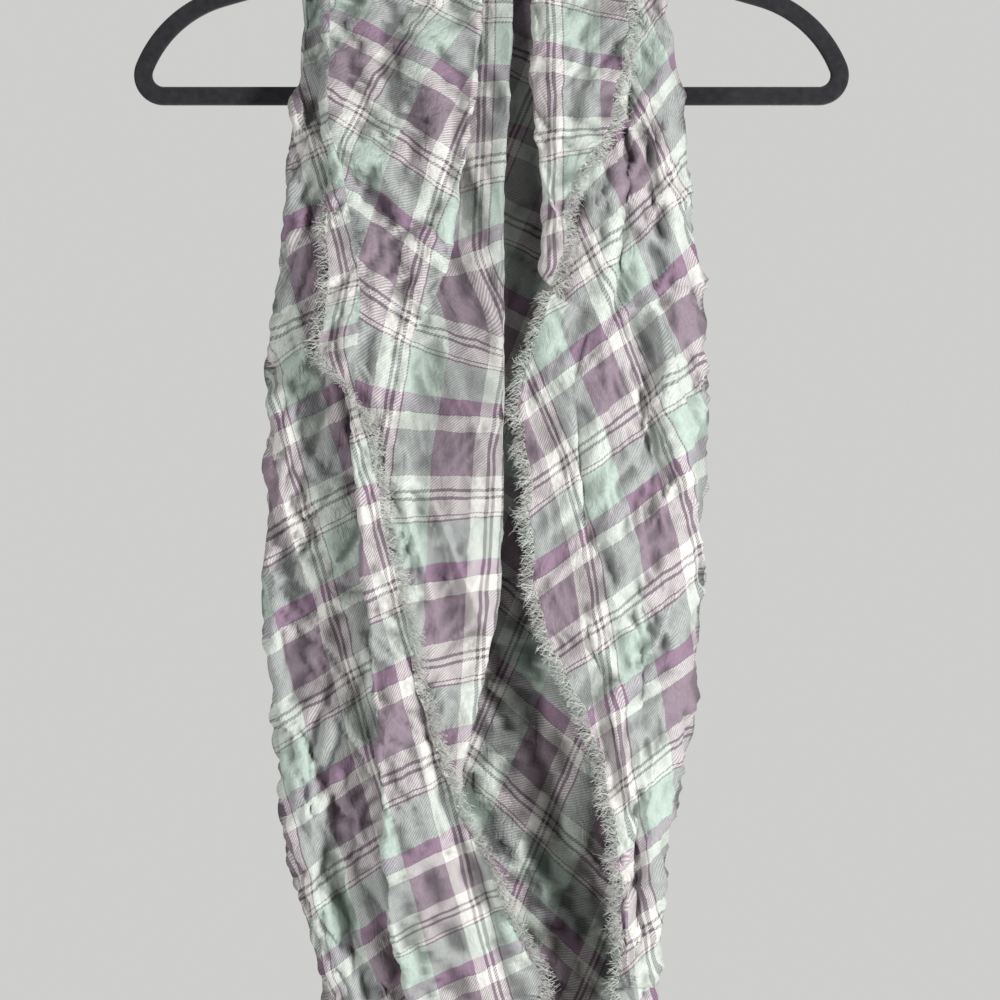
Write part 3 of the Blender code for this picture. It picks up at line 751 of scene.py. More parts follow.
def make_strand_pieces(name, strand, nodes, recess_shade=1.0):
    """A strand's front layers down to its side, and its back layer down to the back panel."""
    shaped, marks, layers, levels = strand
    side = marks["side"]
    cloth_piece(name, shaped[:, :side + 1], layers[:-1], nodes[0], recess_shade)
    last = int(np.searchsorted(levels, CROTCH_DROP)) + 2
    place = layers[-1][2][:last, side:]
    layer = [(0, place.shape[1] - 1, place)]
    cloth_piece(name + "_back", shaped[:last, side:], layer, nodes[1])


# ---------------- left strand
# The strand that hangs from the left arm. The band is folded on itself into a flat zigzag:
# a frayed strip or lapel, a front layer with a pleat, an outer layer and a back layer.

LEFT = (
    ("level", "fold", "pleat", "root", "inner", "side", "turn", "hem",
     "front", "under", "outer", "back", "rear"),
    (-50, 102, 7, 31, -13, 117, 10, 18, 23, 17, 13.5, 7.5, 4.5),
    (10, 102, 12, 36, -11, 123, 10, 18, 34, 27, 22, 9.5, 4.7),
    (70, 90, 21, 40, -7, 126, 10, 17, 41, 33, 27, 9.5, 4.7),
    (130, 82, 28, 37, -7, 132, 10, 17, 46, 38.5, 30, 10, 4.7),
    (190, 85, 31, 36, -7, 138, 9, 16, 48, 43, 32, 10, 4.7),
    (250, 80, 31, 36, -7, 138, 7, 14, 49, 46, 34, 10, 4.7),
    (310, 75, 31, 36, -4, 139, 4, 11, 51, 47, 35, 10, 4.7),
    (370, 71, 31, 36, 7, 134, 4, 11, 53, 47, 36, 10, 4.7),
    (430, 65, 31, 36, 19, 128, 4, 11, 53, 46, 36, 10, 4.7),
    (490, 63, 31, 36, 20, 119, 4, 11, 51, 44, 35, 10, 4.7),
    (546, 51, 31, 36, 21, 103, 4, 11, 47, 43, 34, 10, 4.7),
    (586, 45, 31, 36, 31, 99, 4, 11, 44, 41.5, 34, 10, 4.7),
    (622, 37, 31, 36, 29, 90, 4, 11, 42, 41, 35, 10, 4.7),
)
PLEAT_END = 167.0
PLEAT_FADE = 60.0
LEFT_SEED = 1.0
LEFT_STRENGTH = (
    ("edge", 0.45), ("fold", 0.9), ("pleat", 0.6), ("root", 0.35), ("inner", 0.35),
    ("side", 1.2), ("turn", 0.2), ("hem", 0.1),
)

# Painted shade: how much darker the layer behind the pleat is painted, as shade in its recess, and
# over which drops that fades.
POCKET_SHADE = 0.26
POCKET_TOP = 200.0
POCKET_FADE = 120.0

# How the plaid lies on each layer. "weft" gives the drops at which a purple band crosses the
# reference place, "slant" its slope by drop, "pins" the place of a double pin in the warp and
# "lean" how far the warp has moved sideways by drop.
PLAID_LEFT_FRONT = {
    "reference": -37,
    "weft": (-120, -12, 96, 195.5, 297, 397, 497, 600, 700),
    "slant": ((-50, -0.50), (0, -0.62), (96, -0.78), (150, -0.45), (195, -0.09), (297, 0.14),
              (397, 0.21)),
    "pins": -64.4,
    "lean": ((-50, 95), (-3.5, 61), (39, 42), (100, 24), (150, 12), (221, 0), (400, -10),
             (560, -20)),
}
PLAID_LEFT_PLEAT = {
    "reference": 0,
    "weft": (-110, -8.4, 92.5, 194, 297, 400, 505, 610, 715),
    "slant": ((0, 0), (92, 0.42), (200, 0.3)),
    "pins": -3.2,
    "lean": ((-50, 0), (600, -20)),
}
PLAID_LEFT_OUTER = {
    "reference": -135,
    "weft": (-134, -21, 92, 208, 330, 446, 561, 676, 790),
    "slant": ((0, 0.47), (210, 0.51), (330, 0.615), (446, 0.72), (561, 0.81)),
    "pins": -109.6,
    "lean": ((-50, -88), (268, 0), (600, 92)),
}
PLAID_LAPEL = {
    "reference": -42.5,
    "weft": (-100, 12, 124, 236, 349.5, 463, 544, 650),
    "slant": ((0, 0.445), (600, 0.445)),
    "pins": -46.1,
    "lean": ((100, -64), (347, 0), (600, 66)),
}
PLAID_BACK = {
    "reference": 14.6,
    "weft": (-81, 24.3, 129.8, 247, 364.3, 492, 610, 720, 830),
    "slant": ((24, -0.445), (130, -0.5), (364, -0.87), (492, -0.93)),
    "pins": 59.6,
    "lean": ((-50, 185), (389.6, 0), (700, -130)),
}

# Creases and ridges, each a route of places and drops with a height towards the front (less
# than nothing for a trough) and a width.
LEFT_FRONT_CREASES = (
    (((-72, -50), (-68, -42), (-60, -30), (-55, -12)), -3, 4),
    (((-96, 18), (-78, 42), (-58, 62), (-36, 86)), 3.4, 7),
    (((-98, 40), (-80, 62), (-60, 80), (-44, 98)), -2.2, 5),
    (((-37, 82), (-32, 92), (-27, 104)), -2.4, 3),
    (((-44, -45), (-40, -10), (-30, 20), (-28, 52)), 2.6, 6),
    (((-22, 60), (-30, 95), (-46, 130), (-52, 168)), 2.2, 7),
    (((-70, 110), (-64, 150), (-66, 190), (-58, 230)), 2.4, 8),
    (((-30, 150), (-24, 190), (-20, 235), (-22, 280)), 3, 9),
    (((-44, 175), (-40, 215), (-42, 262)), -2, 6),
    (((-8, 210), (-8, 250), (-12, 296), (-10, 330)), 2, 6),
    (((-60, 250), (-50, 288), (-46, 330), (-38, 362)), 2.4, 8),
    (((-34, 290), (-26, 330), (-22, 372)), -2.4, 6),
)
LAPEL_CREASES = (
    (((-52, 335), (-43, 370), (-28, 430), (-4, 490), (18, 550)), -3, 3.5),
    (((-60, 350), (-52, 400), (-36, 450), (-16, 500), (4, 550)), 1.8, 6),
    (((-62, 400), (-56, 440), (-46, 480)), -1.8, 5),
    (((-50, 455), (-38, 500), (-30, 540)), 1.6, 6),
)
LEFT_OUTER_CREASES = (
    (((-112, 0), (-114, 60), (-120, 120)), 2.4, 8),
    (((-98, 110), (-104, 170), (-112, 230)), -2.6, 7),
    (((-128, 150), (-124, 210), (-126, 270)), 2.4, 8),
    (((-92, 230), (-100, 290), (-106, 350)), 2.6, 8),
    (((-122, 300), (-116, 350), (-112, 400)), -2.6, 7),
    (((-106, 412), (-97, 439), (-89, 464)), -4, 5),
    (((-118, 400), (-110, 440), (-100, 480)), 3.2, 7),
    (((-104, 446), (-89, 500), (-74, 555)), -4.4, 6),
    (((-88, 470), (-74, 510), (-60, 548)), 3.4, 7),
)


def left_section(level):
    """The left strand's layers at one level, the pleat opened out below its end."""
    points, marks = zigzag(level, row_of(LEFT, level))
    share = float(ease((level - PLEAT_END + PLEAT_FADE) / PLEAT_FADE))
    opened_out(points, marks["fold"], marks["inner"] - FOLD_STEPS // 2, share)
    return points, marks


def pocket_painted_shade(marks, levels):
    """Painted shade on the left strand, point by point, darkest on the layer behind the pleat."""
    columns = np.arange(marks["side"] + 1)
    behind = ease((columns - marks["pleat"]) / 6.0) * ease((marks["inner"] - columns) / 2.0 + 1.0)
    fade = 1.0 - ease((levels - POCKET_TOP) / POCKET_FADE)
    return 1.0 - POCKET_SHADE * fade[:, None] * behind[None, :]


LEFT_LIES = (
    ("edge", "fold", PLAID_LEFT_OUTER, PLAID_LAPEL, 110.0, PLEAT_END),
    ("fold", "pleat", PLAID_LEFT_FRONT),
    ("pleat", "inner", PLAID_LEFT_PLEAT, PLAID_LEFT_FRONT, 95.0, PLEAT_END),
    ("inner", "side", PLAID_LEFT_OUTER),
    ("side", "hem", PLAID_BACK),
)
LEFT_CREASES = (
    ("edge", "fold", LAPEL_CREASES), ("fold", "inner", LEFT_FRONT_CREASES),
    ("inner", "side", LEFT_OUTER_CREASES),
)
left_strand = make_strand(
    -1, LEFT[-1][0], left_section, (1.6, 3.0), (30.0, (-138.0, 12.0), 4.0, 2.0),
    LEFT_LIES, LEFT_CREASES, LEFT_STRENGTH, LEFT_SEED,
)
make_strand_pieces(
    "left_strand", left_strand,
    (
        ("left_top_edge", "left_top_front", "left_top_pleat", "left_top_outer", "left_lapel",
         "left_front", "left_outer"),
        ("left_top_back", "left_back"),
    ),
    pocket_painted_shade(left_strand[1], left_strand[3]),
)


# ---------------- right strand
# The strand that hangs from the right arm. At the top its frayed edge is folded over to the
# front as a narrow lapel, and below that it hangs open.

RIGHT = (
    ("level", "edge", "inner", "side", "turn", "hem", "front", "outer", "back", "rear"),
    (-50, 85, 25, 108, 7, 80, 22, 14, 8, 4.5),
    (10, 75, 25, 116, 8, 72, 38, 30, 9.5, 4.7),
    (70, 50, 30, 121, 8, 62, 44, 37, 9.5, 4.7),
    (130, 37, 27, 128, 8, 50, 46, 40, 10, 4.7),
    (190, 16, 26, 130, 8, 38, 46, 42, 10, 4.7),
    (250, 22, 26, 130, 6, 24, 46, 44, 10, 4.7),
    (310, 27, 26, 128, 3, 10, 46, 45, 10, 4.7),
    (370, 50, 26, 123, 3, 10, 46, 45, 10, 4.7),
    (430, 72, 26, 113, 3, 10, 46, 44, 10, 4.7),
    (490, 78, 26, 105, 3, 10, 46, 42, 10, 4.7),
    (546, 75, 26, 100, 3, 10, 46, 38, 10, 4.7),
)
LAPEL_END = 132.0
LAPEL_FADE = 44.0
RIGHT_SEED = 5.0
RIGHT_STRENGTH = (("edge", 0.6), ("inner", 0.7), ("side", 1.2), ("turn", 0.2), ("hem", 0.1))
PLAID_RIGHT_LAPEL = {
    "reference": 44.5,
    "weft": (-113, -18.5, 75.7, 170, 264),
    "slant": ((-18, -0.21), (76, 0.364)),
    "pins": 37.3,
    "lean": ((-50, 0), (200, 0)),
}
PLAID_RIGHT_OUTER = {
    "reference": 96.3,
    "weft": (-115, 5.8, 128.3, 245.3, 356.3, 454.6, 554.7, 660, 760),
    "slant": ((6, 1.5), (60, 1.1), (128, 0.83), (245, 0.745), (356, 0.708), (455, 0.84),
              (555, 0.9)),
    "pins": 83.5,
    "lean": ((-50, -84), (0, -64), (60, -40), (160, 0), (225, 27), (280, 41), (400, 60),
             (560, 85)),
}
RIGHT_LAPEL_CREASES = (
    (((36, -45), (40, 0), (38, 50), (33, 100)), 1.8, 5),
    (((58, -40), (56, 0), (48, 40)), -1.8, 4),
)
RIGHT_OUTER_CREASES = (
    (((81, -50), (80, -20), (78, 10), (76, 70), (69, 130), (62, 165)), 3.6, 5),
    (((86, -48), (85, -20), (83, 10), (81, 70), (74, 130)), -3, 3.5),
    (((104, -30), (106, 20), (110, 70)), 2.6, 7),
    (((94, 20), (98, 70), (104, 120)), -2.4, 6),
    (((36, 170), (38, 208), (41, 250), (45, 276)), -2.8, 4),
    (((30, 190), (33, 240), (38, 290)), 2.4, 5),
    (((48, 190), (52, 233), (56, 257), (60, 273), (70, 297)), -2.8, 4),
    (((56, 150), (62, 200), (70, 250), (80, 300)), 2.8, 7),
    (((86, 130), (92, 190), (96, 250), (104, 310)), -2.6, 7),
    (((108, 120), (112, 190), (118, 260)), 2.6, 8),
    (((98, 250), (104, 300), (108, 350)), 2.4, 8),
    (((40, 310), (53, 330), (67, 341), (80, 359), (72, 376), (75, 402), (82, 419), (97, 421)),
     4.2, 6),
    (((84, 318), (92, 345), (90, 385), (96, 405)), -3, 5),
    (((89, 424), (86, 470), (90, 509), (87, 536)), -4.2, 4.5),
    (((98, 430), (98, 480), (100, 530)), 2.8, 5),
    (((79, 440), (78, 480), (80, 530)), 2.2, 4),
)


def right_section(level):
    """The right strand's layers at one level, the lapel opened out below its end."""
    row = row_of(RIGHT, level)
    width = row["edge"] - row["inner"]
    soft = min((row["front"] - row["outer"]) / 2, max(0.4 * width, 1.0))
    points, marks = section(
        ("edge", [(row["inner"] + max(width, 2.0), row["front"])]),
        3, ("inner", fold(row["inner"], -1, row["front"], row["outer"], soft)),
        *back_folds(row, 6, 3),
    )
    share = float(ease((level - LAPEL_END + LAPEL_FADE / 2) / LAPEL_FADE))
    end = marks["side"] - FOLD_STEPS // 2
    start, stop = (row["edge"], row["outer"]), points[end]
    for k in range(end + 1):
        points[k] = between(points[k], between(start, stop, k / end), share)
    return points, marks


RIGHT_LIES = (
    ("edge", "inner", PLAID_RIGHT_LAPEL, PLAID_RIGHT_OUTER, 110.0, 150.0),
    ("inner", "side", PLAID_RIGHT_OUTER),
    ("side", "hem", PLAID_BACK),
)
RIGHT_CREASES = (
    ("edge", "inner", RIGHT_LAPEL_CREASES), ("inner", "side", RIGHT_OUTER_CREASES),
)
right_strand = make_strand(
    1, PIVOT_DROP, right_section, (2.4, 7.0), (34.0, (20.0, 128.0), 5.0, 4.0),
    RIGHT_LIES, RIGHT_CREASES, RIGHT_STRENGTH, RIGHT_SEED,
)
make_strand_pieces(
    "right_strand", right_strand,
    (
        ("right_top_lapel", "right_top_outer", "right_outer"),
        ("right_top_back", "right_top_turn", "right_back", "right_turn"),
    ),
)


# ---------------- neck
# The part of the loop that lies over both arms, as it would round a neck, and sags between
# them in a shallow swag behind the hanger.

ARM_WRAP = 5.2
LAYER_PACK = 0.85
SWAG_TOP = 8.0
SWAG_DEPTH = 96.0
SWAG_BEHIND = 4.0
NECK_CLIMB = 24
NECK_WRAP = 16
NECK_SWAG = 26
LEFT_SPREAD = (-13.0, 117.0, 8.0, 100.0)
RIGHT_SPREAD = (7.0, 108.0, 8.0, 88.0)
PLEAT_HALF = 2.5
UNDER_GAP = 3.5


def arm_top(reach):
    """Height of the arm's upper edge at a reach from the stem."""
    return BAR_LEVEL + hanger_outline(RAIL_WIDTH / 2)[0][1] - reach * math.tan(SHOULDER_SLOPE)


def neck_half(side, points, near, far, arm_near, arm_far):
    """Rows from a strand's top section, over the arm and behind it to the middle of the back."""
    reach, depth = np.array(points).T
    share = (reach - near) / (far - near)
    over = arm_near + (arm_far - arm_near) * share
    radius = ARM_WRAP + (depth - depth.min()) * LAYER_PACK
    drop = BAR_LEVEL - arm_top(over) + RAIL_THICKNESS / 2
    rows = []
    for step in range(NECK_CLIMB):
        t = step / NECK_CLIMB
        rows.append((
            side * (reach + (over - reach) * ease(t)),
            NECK_TOP_DROP + (drop - NECK_TOP_DROP) * t,
            depth + (radius - depth) * ease(t),
        ))
    for step in range(NECK_WRAP):
        angle = math.pi * step / NECK_WRAP
        rows.append((side * over, drop - radius * math.sin(angle), radius * math.cos(angle)))
    low = BAR_LEVEL - arm_top(0.0) + SWAG_TOP + SWAG_DEPTH * share
    for step in range(NECK_SWAG + 1):
        t = step / NECK_SWAG
        rows.append((
            side * over * (1 - t),
            drop + (low - drop) * (1 - (1 - t) ** 2),
            -radius - SWAG_BEHIND * ease(t),
        ))
    return np.array(rows).transpose(0, 2, 1)


def right_neck_points():
    """The right strand's top section with as many points as the left one, in the same order."""
    row = row_of(RIGHT, NECK_TOP_DROP)
    pleat = (row["edge"] + row["inner"]) / 2 - PLEAT_HALF
    row.update(
        fold=row["edge"], pleat=pleat, root=pleat + 2 * PLEAT_HALF, under=row["outer"] + UNDER_GAP,
    )
    return zigzag(NECK_TOP_DROP, row)[0]


def neck_plaid(half, marks, lies):
    """The strand's plaid on the rows that climb to the arm, carried on from there by length."""
    place = np.zeros(half.shape[:2] + (2,))
    steps = np.linalg.norm(np.diff(half, axis=0), axis=2) / WEFT_REPEAT
    for start, end, lie, *_ in lies:
        columns = slice(marks[start], marks[end] + 1)
        laid = plaid_place(half[:, columns], lie)
        beyond = np.cumsum(steps[NECK_CLIMB - 1:, columns], axis=0)
        laid[NECK_CLIMB:, :, 0] = laid[NECK_CLIMB - 1, :, 0] - beyond
        laid[NECK_CLIMB:, :, 1] = laid[NECK_CLIMB - 1, :, 1]
        place[:, columns] = laid
    return place


def neck_crumple(half, marks, seed):
    """Crinkle one half of the neck as the strand below it is, less and less to the middle."""
    levels = NECK_TOP_DROP - travelled(half).mean(axis=1)
    push = crinkled(half, marks, LEFT_STRENGTH, seed, levels) - half
    push[-NECK_SWAG - 1:] *= ease(np.linspace(0.0, 1.0, NECK_SWAG + 1))[::-1, None, None]
    return push


def meet_strand(half, marks, push, strand, plain, lies):
    """Move the foot of the neck, and its climb less and less, to the strand's creased top."""
    top, strand_marks = strand[0][0], strand[1]
    foot = half[0].copy()
    for start, end, *_ in lies:
        here = slice(marks[start], marks[end] + 1)
        there = slice(strand_marks[start], strand_marks[end] + 1)
        wanted, given = travelled(half[0][here]), travelled(plain[there])
        for axis in range(3):
            foot[here, axis] = np.interp(wanted / wanted[-1], given / given[-1], top[there, axis])
    closing = 1.0 - ease(np.arange(NECK_CLIMB) / (NECK_CLIMB - 1.0))
    push[:NECK_CLIMB] += closing[:, None, None] * (foot - half[0] - push[0])


def make_neck():
    points, marks = left_section(NECK_TOP_DROP)
    left = neck_half(-1, points, *LEFT_SPREAD)
    right = neck_half(1, right_neck_points(), *RIGHT_SPREAD)
    middle = (left[-1] + right[-1]) / 2
    for half in (left, right):
        gap = middle - half[-1]
        for step in range(NECK_SWAG):
            half[-1 - step] += gap * ease(1 - step / NECK_SWAG)
    left_place = neck_plaid(left, marks, LEFT_LIES)
    right_place = neck_plaid(right, marks, RIGHT_LIES)
    right_place += np.round(np.median(left_place[-1] - right_place[-1], axis=0))
    for name, half, seed, place, strand, plain, lies, nodes in (
        ("neck_left_cloth", left, LEFT_SEED, left_place, left_strand, points, LEFT_LIES,
         ("neck_left",)),
        ("neck_right_cloth", right, RIGHT_SEED, right_place, right_strand,
         right_section(NECK_TOP_DROP)[0], RIGHT_LIES, ("neck_right", "neck_swag")),
    ):
        push = neck_crumple(half, marks, seed)
        meet_strand(half, marks, push, strand, np.array(plain), lies)
        cloth_piece(name, half + push, [(0, marks["hem"], place)], nodes)


make_neck()


# ---------------- lower turn and back
# Where the two strands meet the loop turns back up. Its outer layer runs round under the
# pocket, and one wide back layer, whose inner face shows between the strands, closes it.

BACK_SEAM = 0.5
BACK_SETTLE = 26.0
BACK_TURN_END = 60.0
TURN_START = 38.0
TURN_ROWS = 90
BACK_ROWS = 84
BACK_WIDE = 64
BACK_TURN_ROWS = 34
OUTLINE_STEP = 3

# The front of the lower turn, by the angle that it has gone round the pivot, from the left.
TURN = (
    ("angle", "edge", "side", "front", "outer", "back"),
    (38, 36, 143, 46, 35, 10),
    (65, 44, 126, 44, 35, 10),
    (90, 48, 112, 42, 36, 10),
    (105, 46, 97, 41, 36, 10),
    (120, 41, 80, 40, 37, 10),
    (150, 29, 53, 39, 38, 10),
    (180, 22, 47, 38, 38, 10),
)
BACK_CREASES = (
    (((10, 90), (14, 130), (22, 170)), -2, 6),
    (((55, 395), (52, 430), (46, 470), (30, 500)), 3, 7),
    (((20, 340), (30, 380), (28, 430)), -2.4, 6),
    (((-60, 330), (-40, 400), (-20, 470), (20, 530)), 3, 10),
    (((70, 320), (64, 380), (70, 440), (60, 520)), -2.6, 8),
    (((-100, 360), (-80, 430), (-50, 500), (-10, 560)), -2.6, 9),
    (((90, 340), (86, 420), (92, 500)), 2.6, 8),
)


def make_bottom():
    rows = []
    for angle in np.linspace(TURN_START, 180.0, TURN_ROWS):
        row = row_of(TURN, angle)
        points, marks = section(
            ("edge", [(row["edge"], row["front"])]),
            5, ("side", fold(row["side"], 1, row["outer"], row["back"])),
        )
        rows.append([swung(radius, angle, depth) for radius, depth in points])
    grid = np.array(rows)
    share = ease(np.linspace(-0.6, 1.8, len(grid)))[:, None, None]
    place = plaid_place(grid, PLAID_LEFT_OUTER) * (1 - share)
    place += plaid_place(grid, PLAID_RIGHT_OUTER) * share
    shaped = crinkled(grid, marks, (("edge", 0.5), ("side", 0.9)), 11.0)
    shaped = shaped[:, :marks["side"] + 1]
    layers = [(0, marks["side"], place)]
    cloth_piece("bottom_turn", shaped, layers, ("bottom_front",))
    return shaped, marks, layers, np.linspace(TURN_START, 180.0, TURN_ROWS)


def side_point(side, level):
    """A point of the outline where the front layers turn to the back: place, drop, depth."""
    row = row_of(LEFT if side < 0 else RIGHT, level)
    return np.array((side * row["side"], level, (row["outer"] + row["back"]) / 2))


def turn_point(angle):
    """The same on the lower turn, at an angle round the pivot."""
    early = angle <= TURN_START
    row = row_of(LEFT, PIVOT_DROP + TURN_RATE * angle) if early else row_of(TURN, angle)
    radius = row["side"] + (PIVOT_X if early else 0.0)
    return np.array(swung(radius, angle, (row["outer"] + row["back"]) / 2))


def make_back_panel():
    levels = range(int(CROTCH_DROP), int(PIVOT_DROP), OUTLINE_STEP)
    outline = [side_point(side, level) for side in (-1, 1) for level in levels]
    outline = np.array(outline + [turn_point(angle) for angle in range(181)])
    share = (1 - np.cos(np.linspace(0.0, math.pi, BACK_WIDE))) / 2
    rows = []
    for level in np.linspace(CROTCH_DROP, PIVOT_DROP, BACK_ROWS):
        start, end = side_point(-1, level), side_point(1, level)
        rows.append(start + (end - start) * share[:, None])
    for step in range(1, BACK_TURN_ROWS + 1):
        t = step / BACK_TURN_ROWS
        angle = BACK_TURN_END * t
        start, end = turn_point(angle), turn_point(180.0 - angle)
        bow = np.array([turn_point(angle + (180 - 2 * angle) * part) for part in share])
        curve = ease(t) ** 1.2
        rows.append((start + (end - start) * share[:, None]) * (1 - curve) + bow * curve)
    grid = np.array(rows)
    away = np.linalg.norm(grid[:, :, None, :2] - outline[None, None, :, :2], axis=3).min(axis=2)
    half = grid[..., 2] - BACK_SEAM - BACK_DEPTH
    near = 1.0 - np.clip(away / half, 0.0, 1.0)
    grid[..., 2] = BACK_DEPTH + half * (1.0 - np.sqrt(np.clip(1.0 - near ** 2, 0.0, 1.0)))
    marks = {"left": 0, "middle": BACK_WIDE // 2, "right": BACK_WIDE - 1}
    shaped = creased(grid, marks, (("left", "right", BACK_CREASES),))
    shaped = crinkled(shaped, marks, (("left", 0.3), ("middle", 1.6), ("right", 0.3)), 14.0)
    shaped = grid + (shaped - grid) * ease((grid[..., 1:2] - CROTCH_DROP) / BACK_SETTLE)
    layers = [(0, BACK_WIDE - 1, plaid_place(grid, PLAID_BACK))]
    cloth_piece("back_cloth", shaped, layers, ("back_panel",))


bottom_turn = make_bottom()
make_back_panel()


# ---------------- frayed edges
# Both long edges of the band are left raw. The weft yarns come loose there and curl, each in
# the colour of the stripe that it belongs to. Many of them clump into tufts.

FRINGE = 9.0
YARN_RADIUS = 0.30
YARN_TIP = 0.55
YARN_JOINTS = 12
YARN_SIDES = 3
YARN_ROOT = 1.5
YARN_LENGTHS = (0.55, 1.35)
YARN_CURLS = (1.5, 9.5)
YARN_LOOPS = (0.5, 1.5)
YARN_TONES = (0.95, 1.25)
YARN_SWAY = 0.5
YARN_RISE = 0.25
YARN_SAG = 0.16
YARN_PULL = 0.12
YARN_WARP = 0.42
TUFT = 5.3
TUFT_SPREAD = 0.7
TUFT_SHARE = 0.55


def fringe(name, source, mark, inward, strip, spacing, nodes, seed, first=None, last=None):
    """Loose yarns along an edge between two levels, away from the cloth just inside it."""
    shaped, marks, layers, levels = source
    column = marks[mark]
    start = 0 if first is None else int(np.searchsorted(levels, first))
    end = len(levels) if last is None else int(np.searchsorted(levels, last)) + 1
    rows = slice(start, end)
    laid = next(laid for start, end, laid in layers if start <= column <= end)
    edge = shaped[rows, column]
    length = [row_of(LAPEL, level)["fray"] if strip else FRINGE for level in levels[rows]]
    draws = np.random.default_rng(seed)
    reached = travelled(edge)
    count = int(reached[-1] / spacing)
    at = draws.uniform(0.0, reached[-1], count)
    tuft = np.round(at / TUFT) * TUFT + draws.normal(0.0, TUFT_SPREAD, count)
    at = np.clip(np.where(draws.random(count) < TUFT_SHARE, tuft, at), 0.0, reached[-1])

    def along(values):
        return np.stack([np.interp(at, reached, column) for column in values.T], axis=-1)

    root, inner, place = [
        along(values) for values in (edge, shaped[rows, column + inward], laid[rows, column])
    ]
    size = np.interp(at, reached, length) * draws.uniform(*YARN_LENGTHS, count)
    out = unit(root - inner)
    tangent = unit(along(np.gradient(edge, axis=0)))
    lift = np.cross(out, tangent)
    sway = draws.normal(0.0, YARN_SWAY, count)
    curl = draws.uniform(*YARN_CURLS, count) * draws.choice([-1, 1], count)
    phase = draws.uniform(0.0, 2 * math.pi, count)
    loop = draws.uniform(*YARN_LOOPS, count)
    rise = draws.normal(0.0, YARN_RISE, count)
    points = []
    for t in np.linspace(0.0, 1.0, YARN_JOINTS):
        bend = loop * (np.cos(phase + curl * t) - np.cos(phase))
        bow = 0.8 * loop * (np.sin(phase + curl * t) - np.sin(phase))
        points.append(
            root + out * (size * t * (1 - YARN_PULL * t) + 0.6 * bow - YARN_ROOT)[:, None]
            + tangent * (sway * size * t + bend)[:, None]
            + lift * (rise * size * t + bow)[:, None]
            + np.array([0.0, 1.0, 0.0]) * (YARN_SAG * size * t * t)[:, None]
        )
    spine = np.stack(points, axis=1)
    thin = YARN_RADIUS * np.linspace(1.0, YARN_TIP, YARN_JOINTS)[None, :, None]
    angles = [2 * math.pi * side / YARN_SIDES for side in range(YARN_SIDES)]
    around = [tangent * math.cos(angle) + lift * math.sin(angle) for angle in angles]
    tube = np.stack([spine + thin * way[:, None] for way in around], axis=2)
    corner = np.arange(tube.size // 3).reshape(count, YARN_JOINTS, YARN_SIDES)
    nearby = np.roll(corner, -1, axis=2)
    quads = np.stack([corner[:, :-1], nearby[:, :-1], nearby[:, 1:], corner[:, 1:]], axis=-1)
    faces = quads.reshape(-1, 4).tolist() + corner[:, -1].tolist()
    piece = mesh_piece(name, world_points(tube), faces, YARN)
    spot = np.stack([
        place[:, 0] + draws.normal(0.0, 0.012, count), np.full(count, YARN_WARP),
    ], axis=-1)
    yarn = np.arange(count)
    owner = np.concatenate([np.repeat(yarn, quads[0].size), np.repeat(yarn, YARN_SIDES)])
    tone = np.repeat(draws.uniform(*YARN_TONES, count), YARN_JOINTS * YARN_SIDES)
    dress(piece, spot[owner], tone, nodes)


for fray in (
    ("left_top_yarns", left_strand, "edge", 2, True, 0.42, ("left_top_fringe",), 21, None,
     PLEAT_END),
    ("left_yarns", left_strand, "edge", 2, True, 0.24, ("left_fringe",), 22, PLEAT_END),
    ("right_top_yarns", right_strand, "edge", 3, False, 0.26, ("right_top_fringe",), 23, None,
     LAPEL_END),
    ("right_yarns", right_strand, "edge", 3, False, 0.24, ("right_fringe",), 24, LAPEL_END),
    ("left_back_yarns", left_strand, "hem", -1, False, 0.6,
     ("left_top_back_fringe", "left_back_fringe"), 25, None, CROTCH_DROP),
    ("right_back_yarns", right_strand, "hem", -1, False, 0.6,
     ("right_top_back_fringe", "right_back_fringe"), 26, None, CROTCH_DROP),
    ("bottom_yarns", bottom_turn, "edge", 1, False, 0.42, ("bottom_fringe",), 29),
):
    fringe(*fray)


# ---------------- room
# A pale floor far below the hanging scarf, soft lamps in front and a level camera.

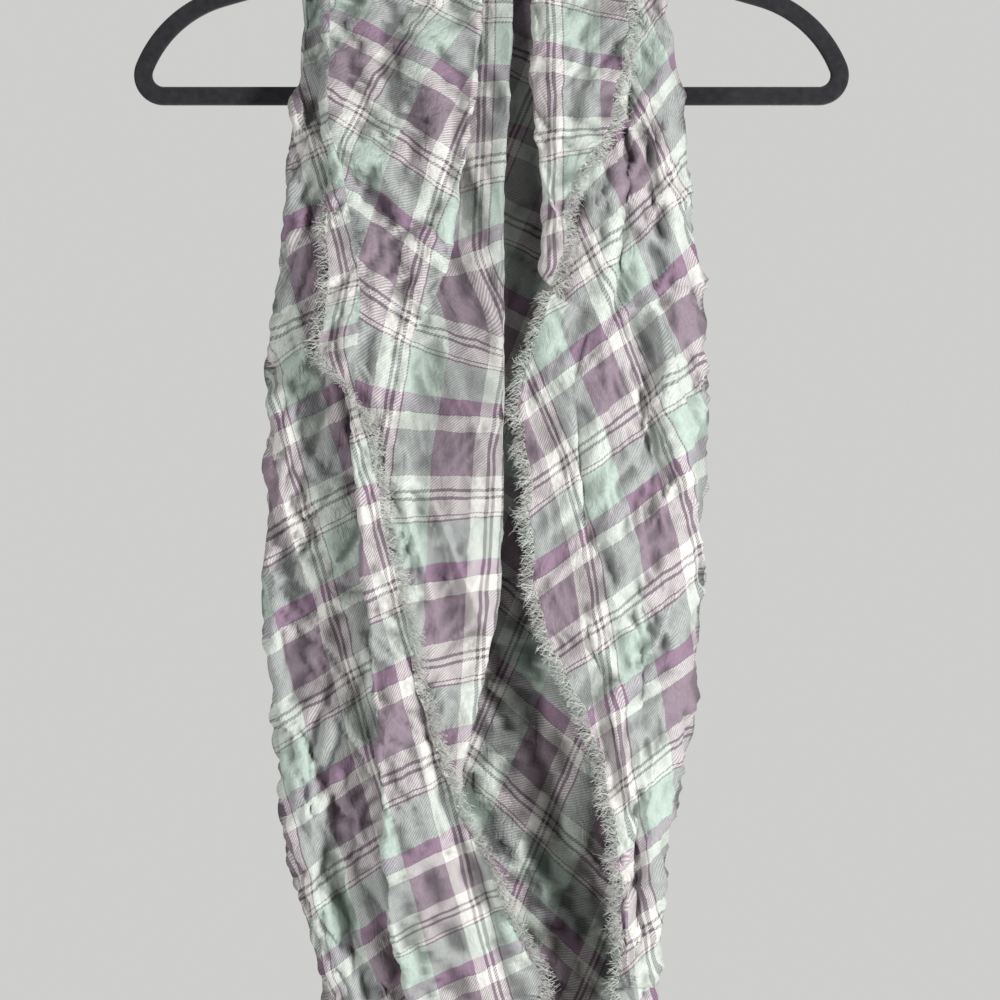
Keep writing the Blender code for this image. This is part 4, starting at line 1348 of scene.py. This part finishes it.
FLOOR_LEVEL = -1.25
FLOOR_RADIUS = 0.9
FLOOR_COLOUR = (0.72, 0.72, 0.71, 1.0)
WALL_COLOUR = (0.62, 0.62, 0.61, 1.0)
GLOW = 0.16
CAMERA_PLACE = (0.0053, -1.4, BAR_LEVEL * MM - 0.2514)
LENS = 80.96
MIDDLE = (0.0, 0.0, BAR_LEVEL * MM - 0.25)

# Name, place, breadth and power.
LAMPS = (
    ("window", (1.35, -1.2, -0.35), 0.3, 31.0),
    ("fill", (-1.2, -1.3, -0.9), 0.5, 13.0),
    ("rear", (0.3, 1.8, 0.2), 1.2, 18.0),
)


def make_floor():
    bpy.ops.mesh.primitive_circle_add(
        vertices=96, radius=FLOOR_RADIUS, fill_type="NGON", location=(0.0, 0.0, FLOOR_LEVEL),
    )
    floor = bpy.context.object
    floor.name = "floor"
    colour = {"Base Color": FLOOR_COLOUR, "Roughness": 0.8}
    floor.data.materials.append(new_material("pale_floor", colour)[0])


def lamp(name, place, size, power):
    data = bpy.data.lights.new(name, "AREA")
    data.shape = "DISK"
    data.size = size
    data.energy = power
    made = bpy.data.objects.new(name, data)
    made.location = place
    made.rotation_euler = (Vector(MIDDLE) - Vector(place)).to_track_quat("-Z", "Y").to_euler()
    bpy.context.scene.collection.objects.link(made)


def make_world():
    """A grey backdrop that lights the scarf less than it shows."""
    world = bpy.data.worlds.new("studio")
    world.use_nodes = True
    tree = world.node_tree
    around = tree.nodes["Background"]
    feed(tree, around, {"Color": WALL_COLOUR, "Strength": GLOW})
    behind = add_node(tree, "Background", {"Color": WALL_COLOUR})
    seen = add_node(tree, "LightPath", {}).outputs["Is Camera Ray"]
    choose = add_node(tree, "MixShader", {
        "Fac": seen, 1: around.outputs["Background"], 2: behind.outputs["Background"],
    })
    feed(tree, tree.nodes["World Output"], {"Surface": choose.outputs["Shader"]})
    bpy.context.scene.world = world
    bpy.context.scene.view_settings.view_transform = "Standard"


def make_camera():
    camera = bpy.data.objects.new("camera", bpy.data.cameras.new("camera"))
    camera.data.lens = LENS
    camera.data.clip_start = 0.01
    camera.location = CAMERA_PLACE
    camera.rotation_euler = (math.radians(90.0), 0.0, 0.0)
    bpy.context.scene.collection.objects.link(camera)
    bpy.context.scene.camera = camera


make_floor()
make_world()
for row in LAMPS:
    lamp(*row)
make_camera()
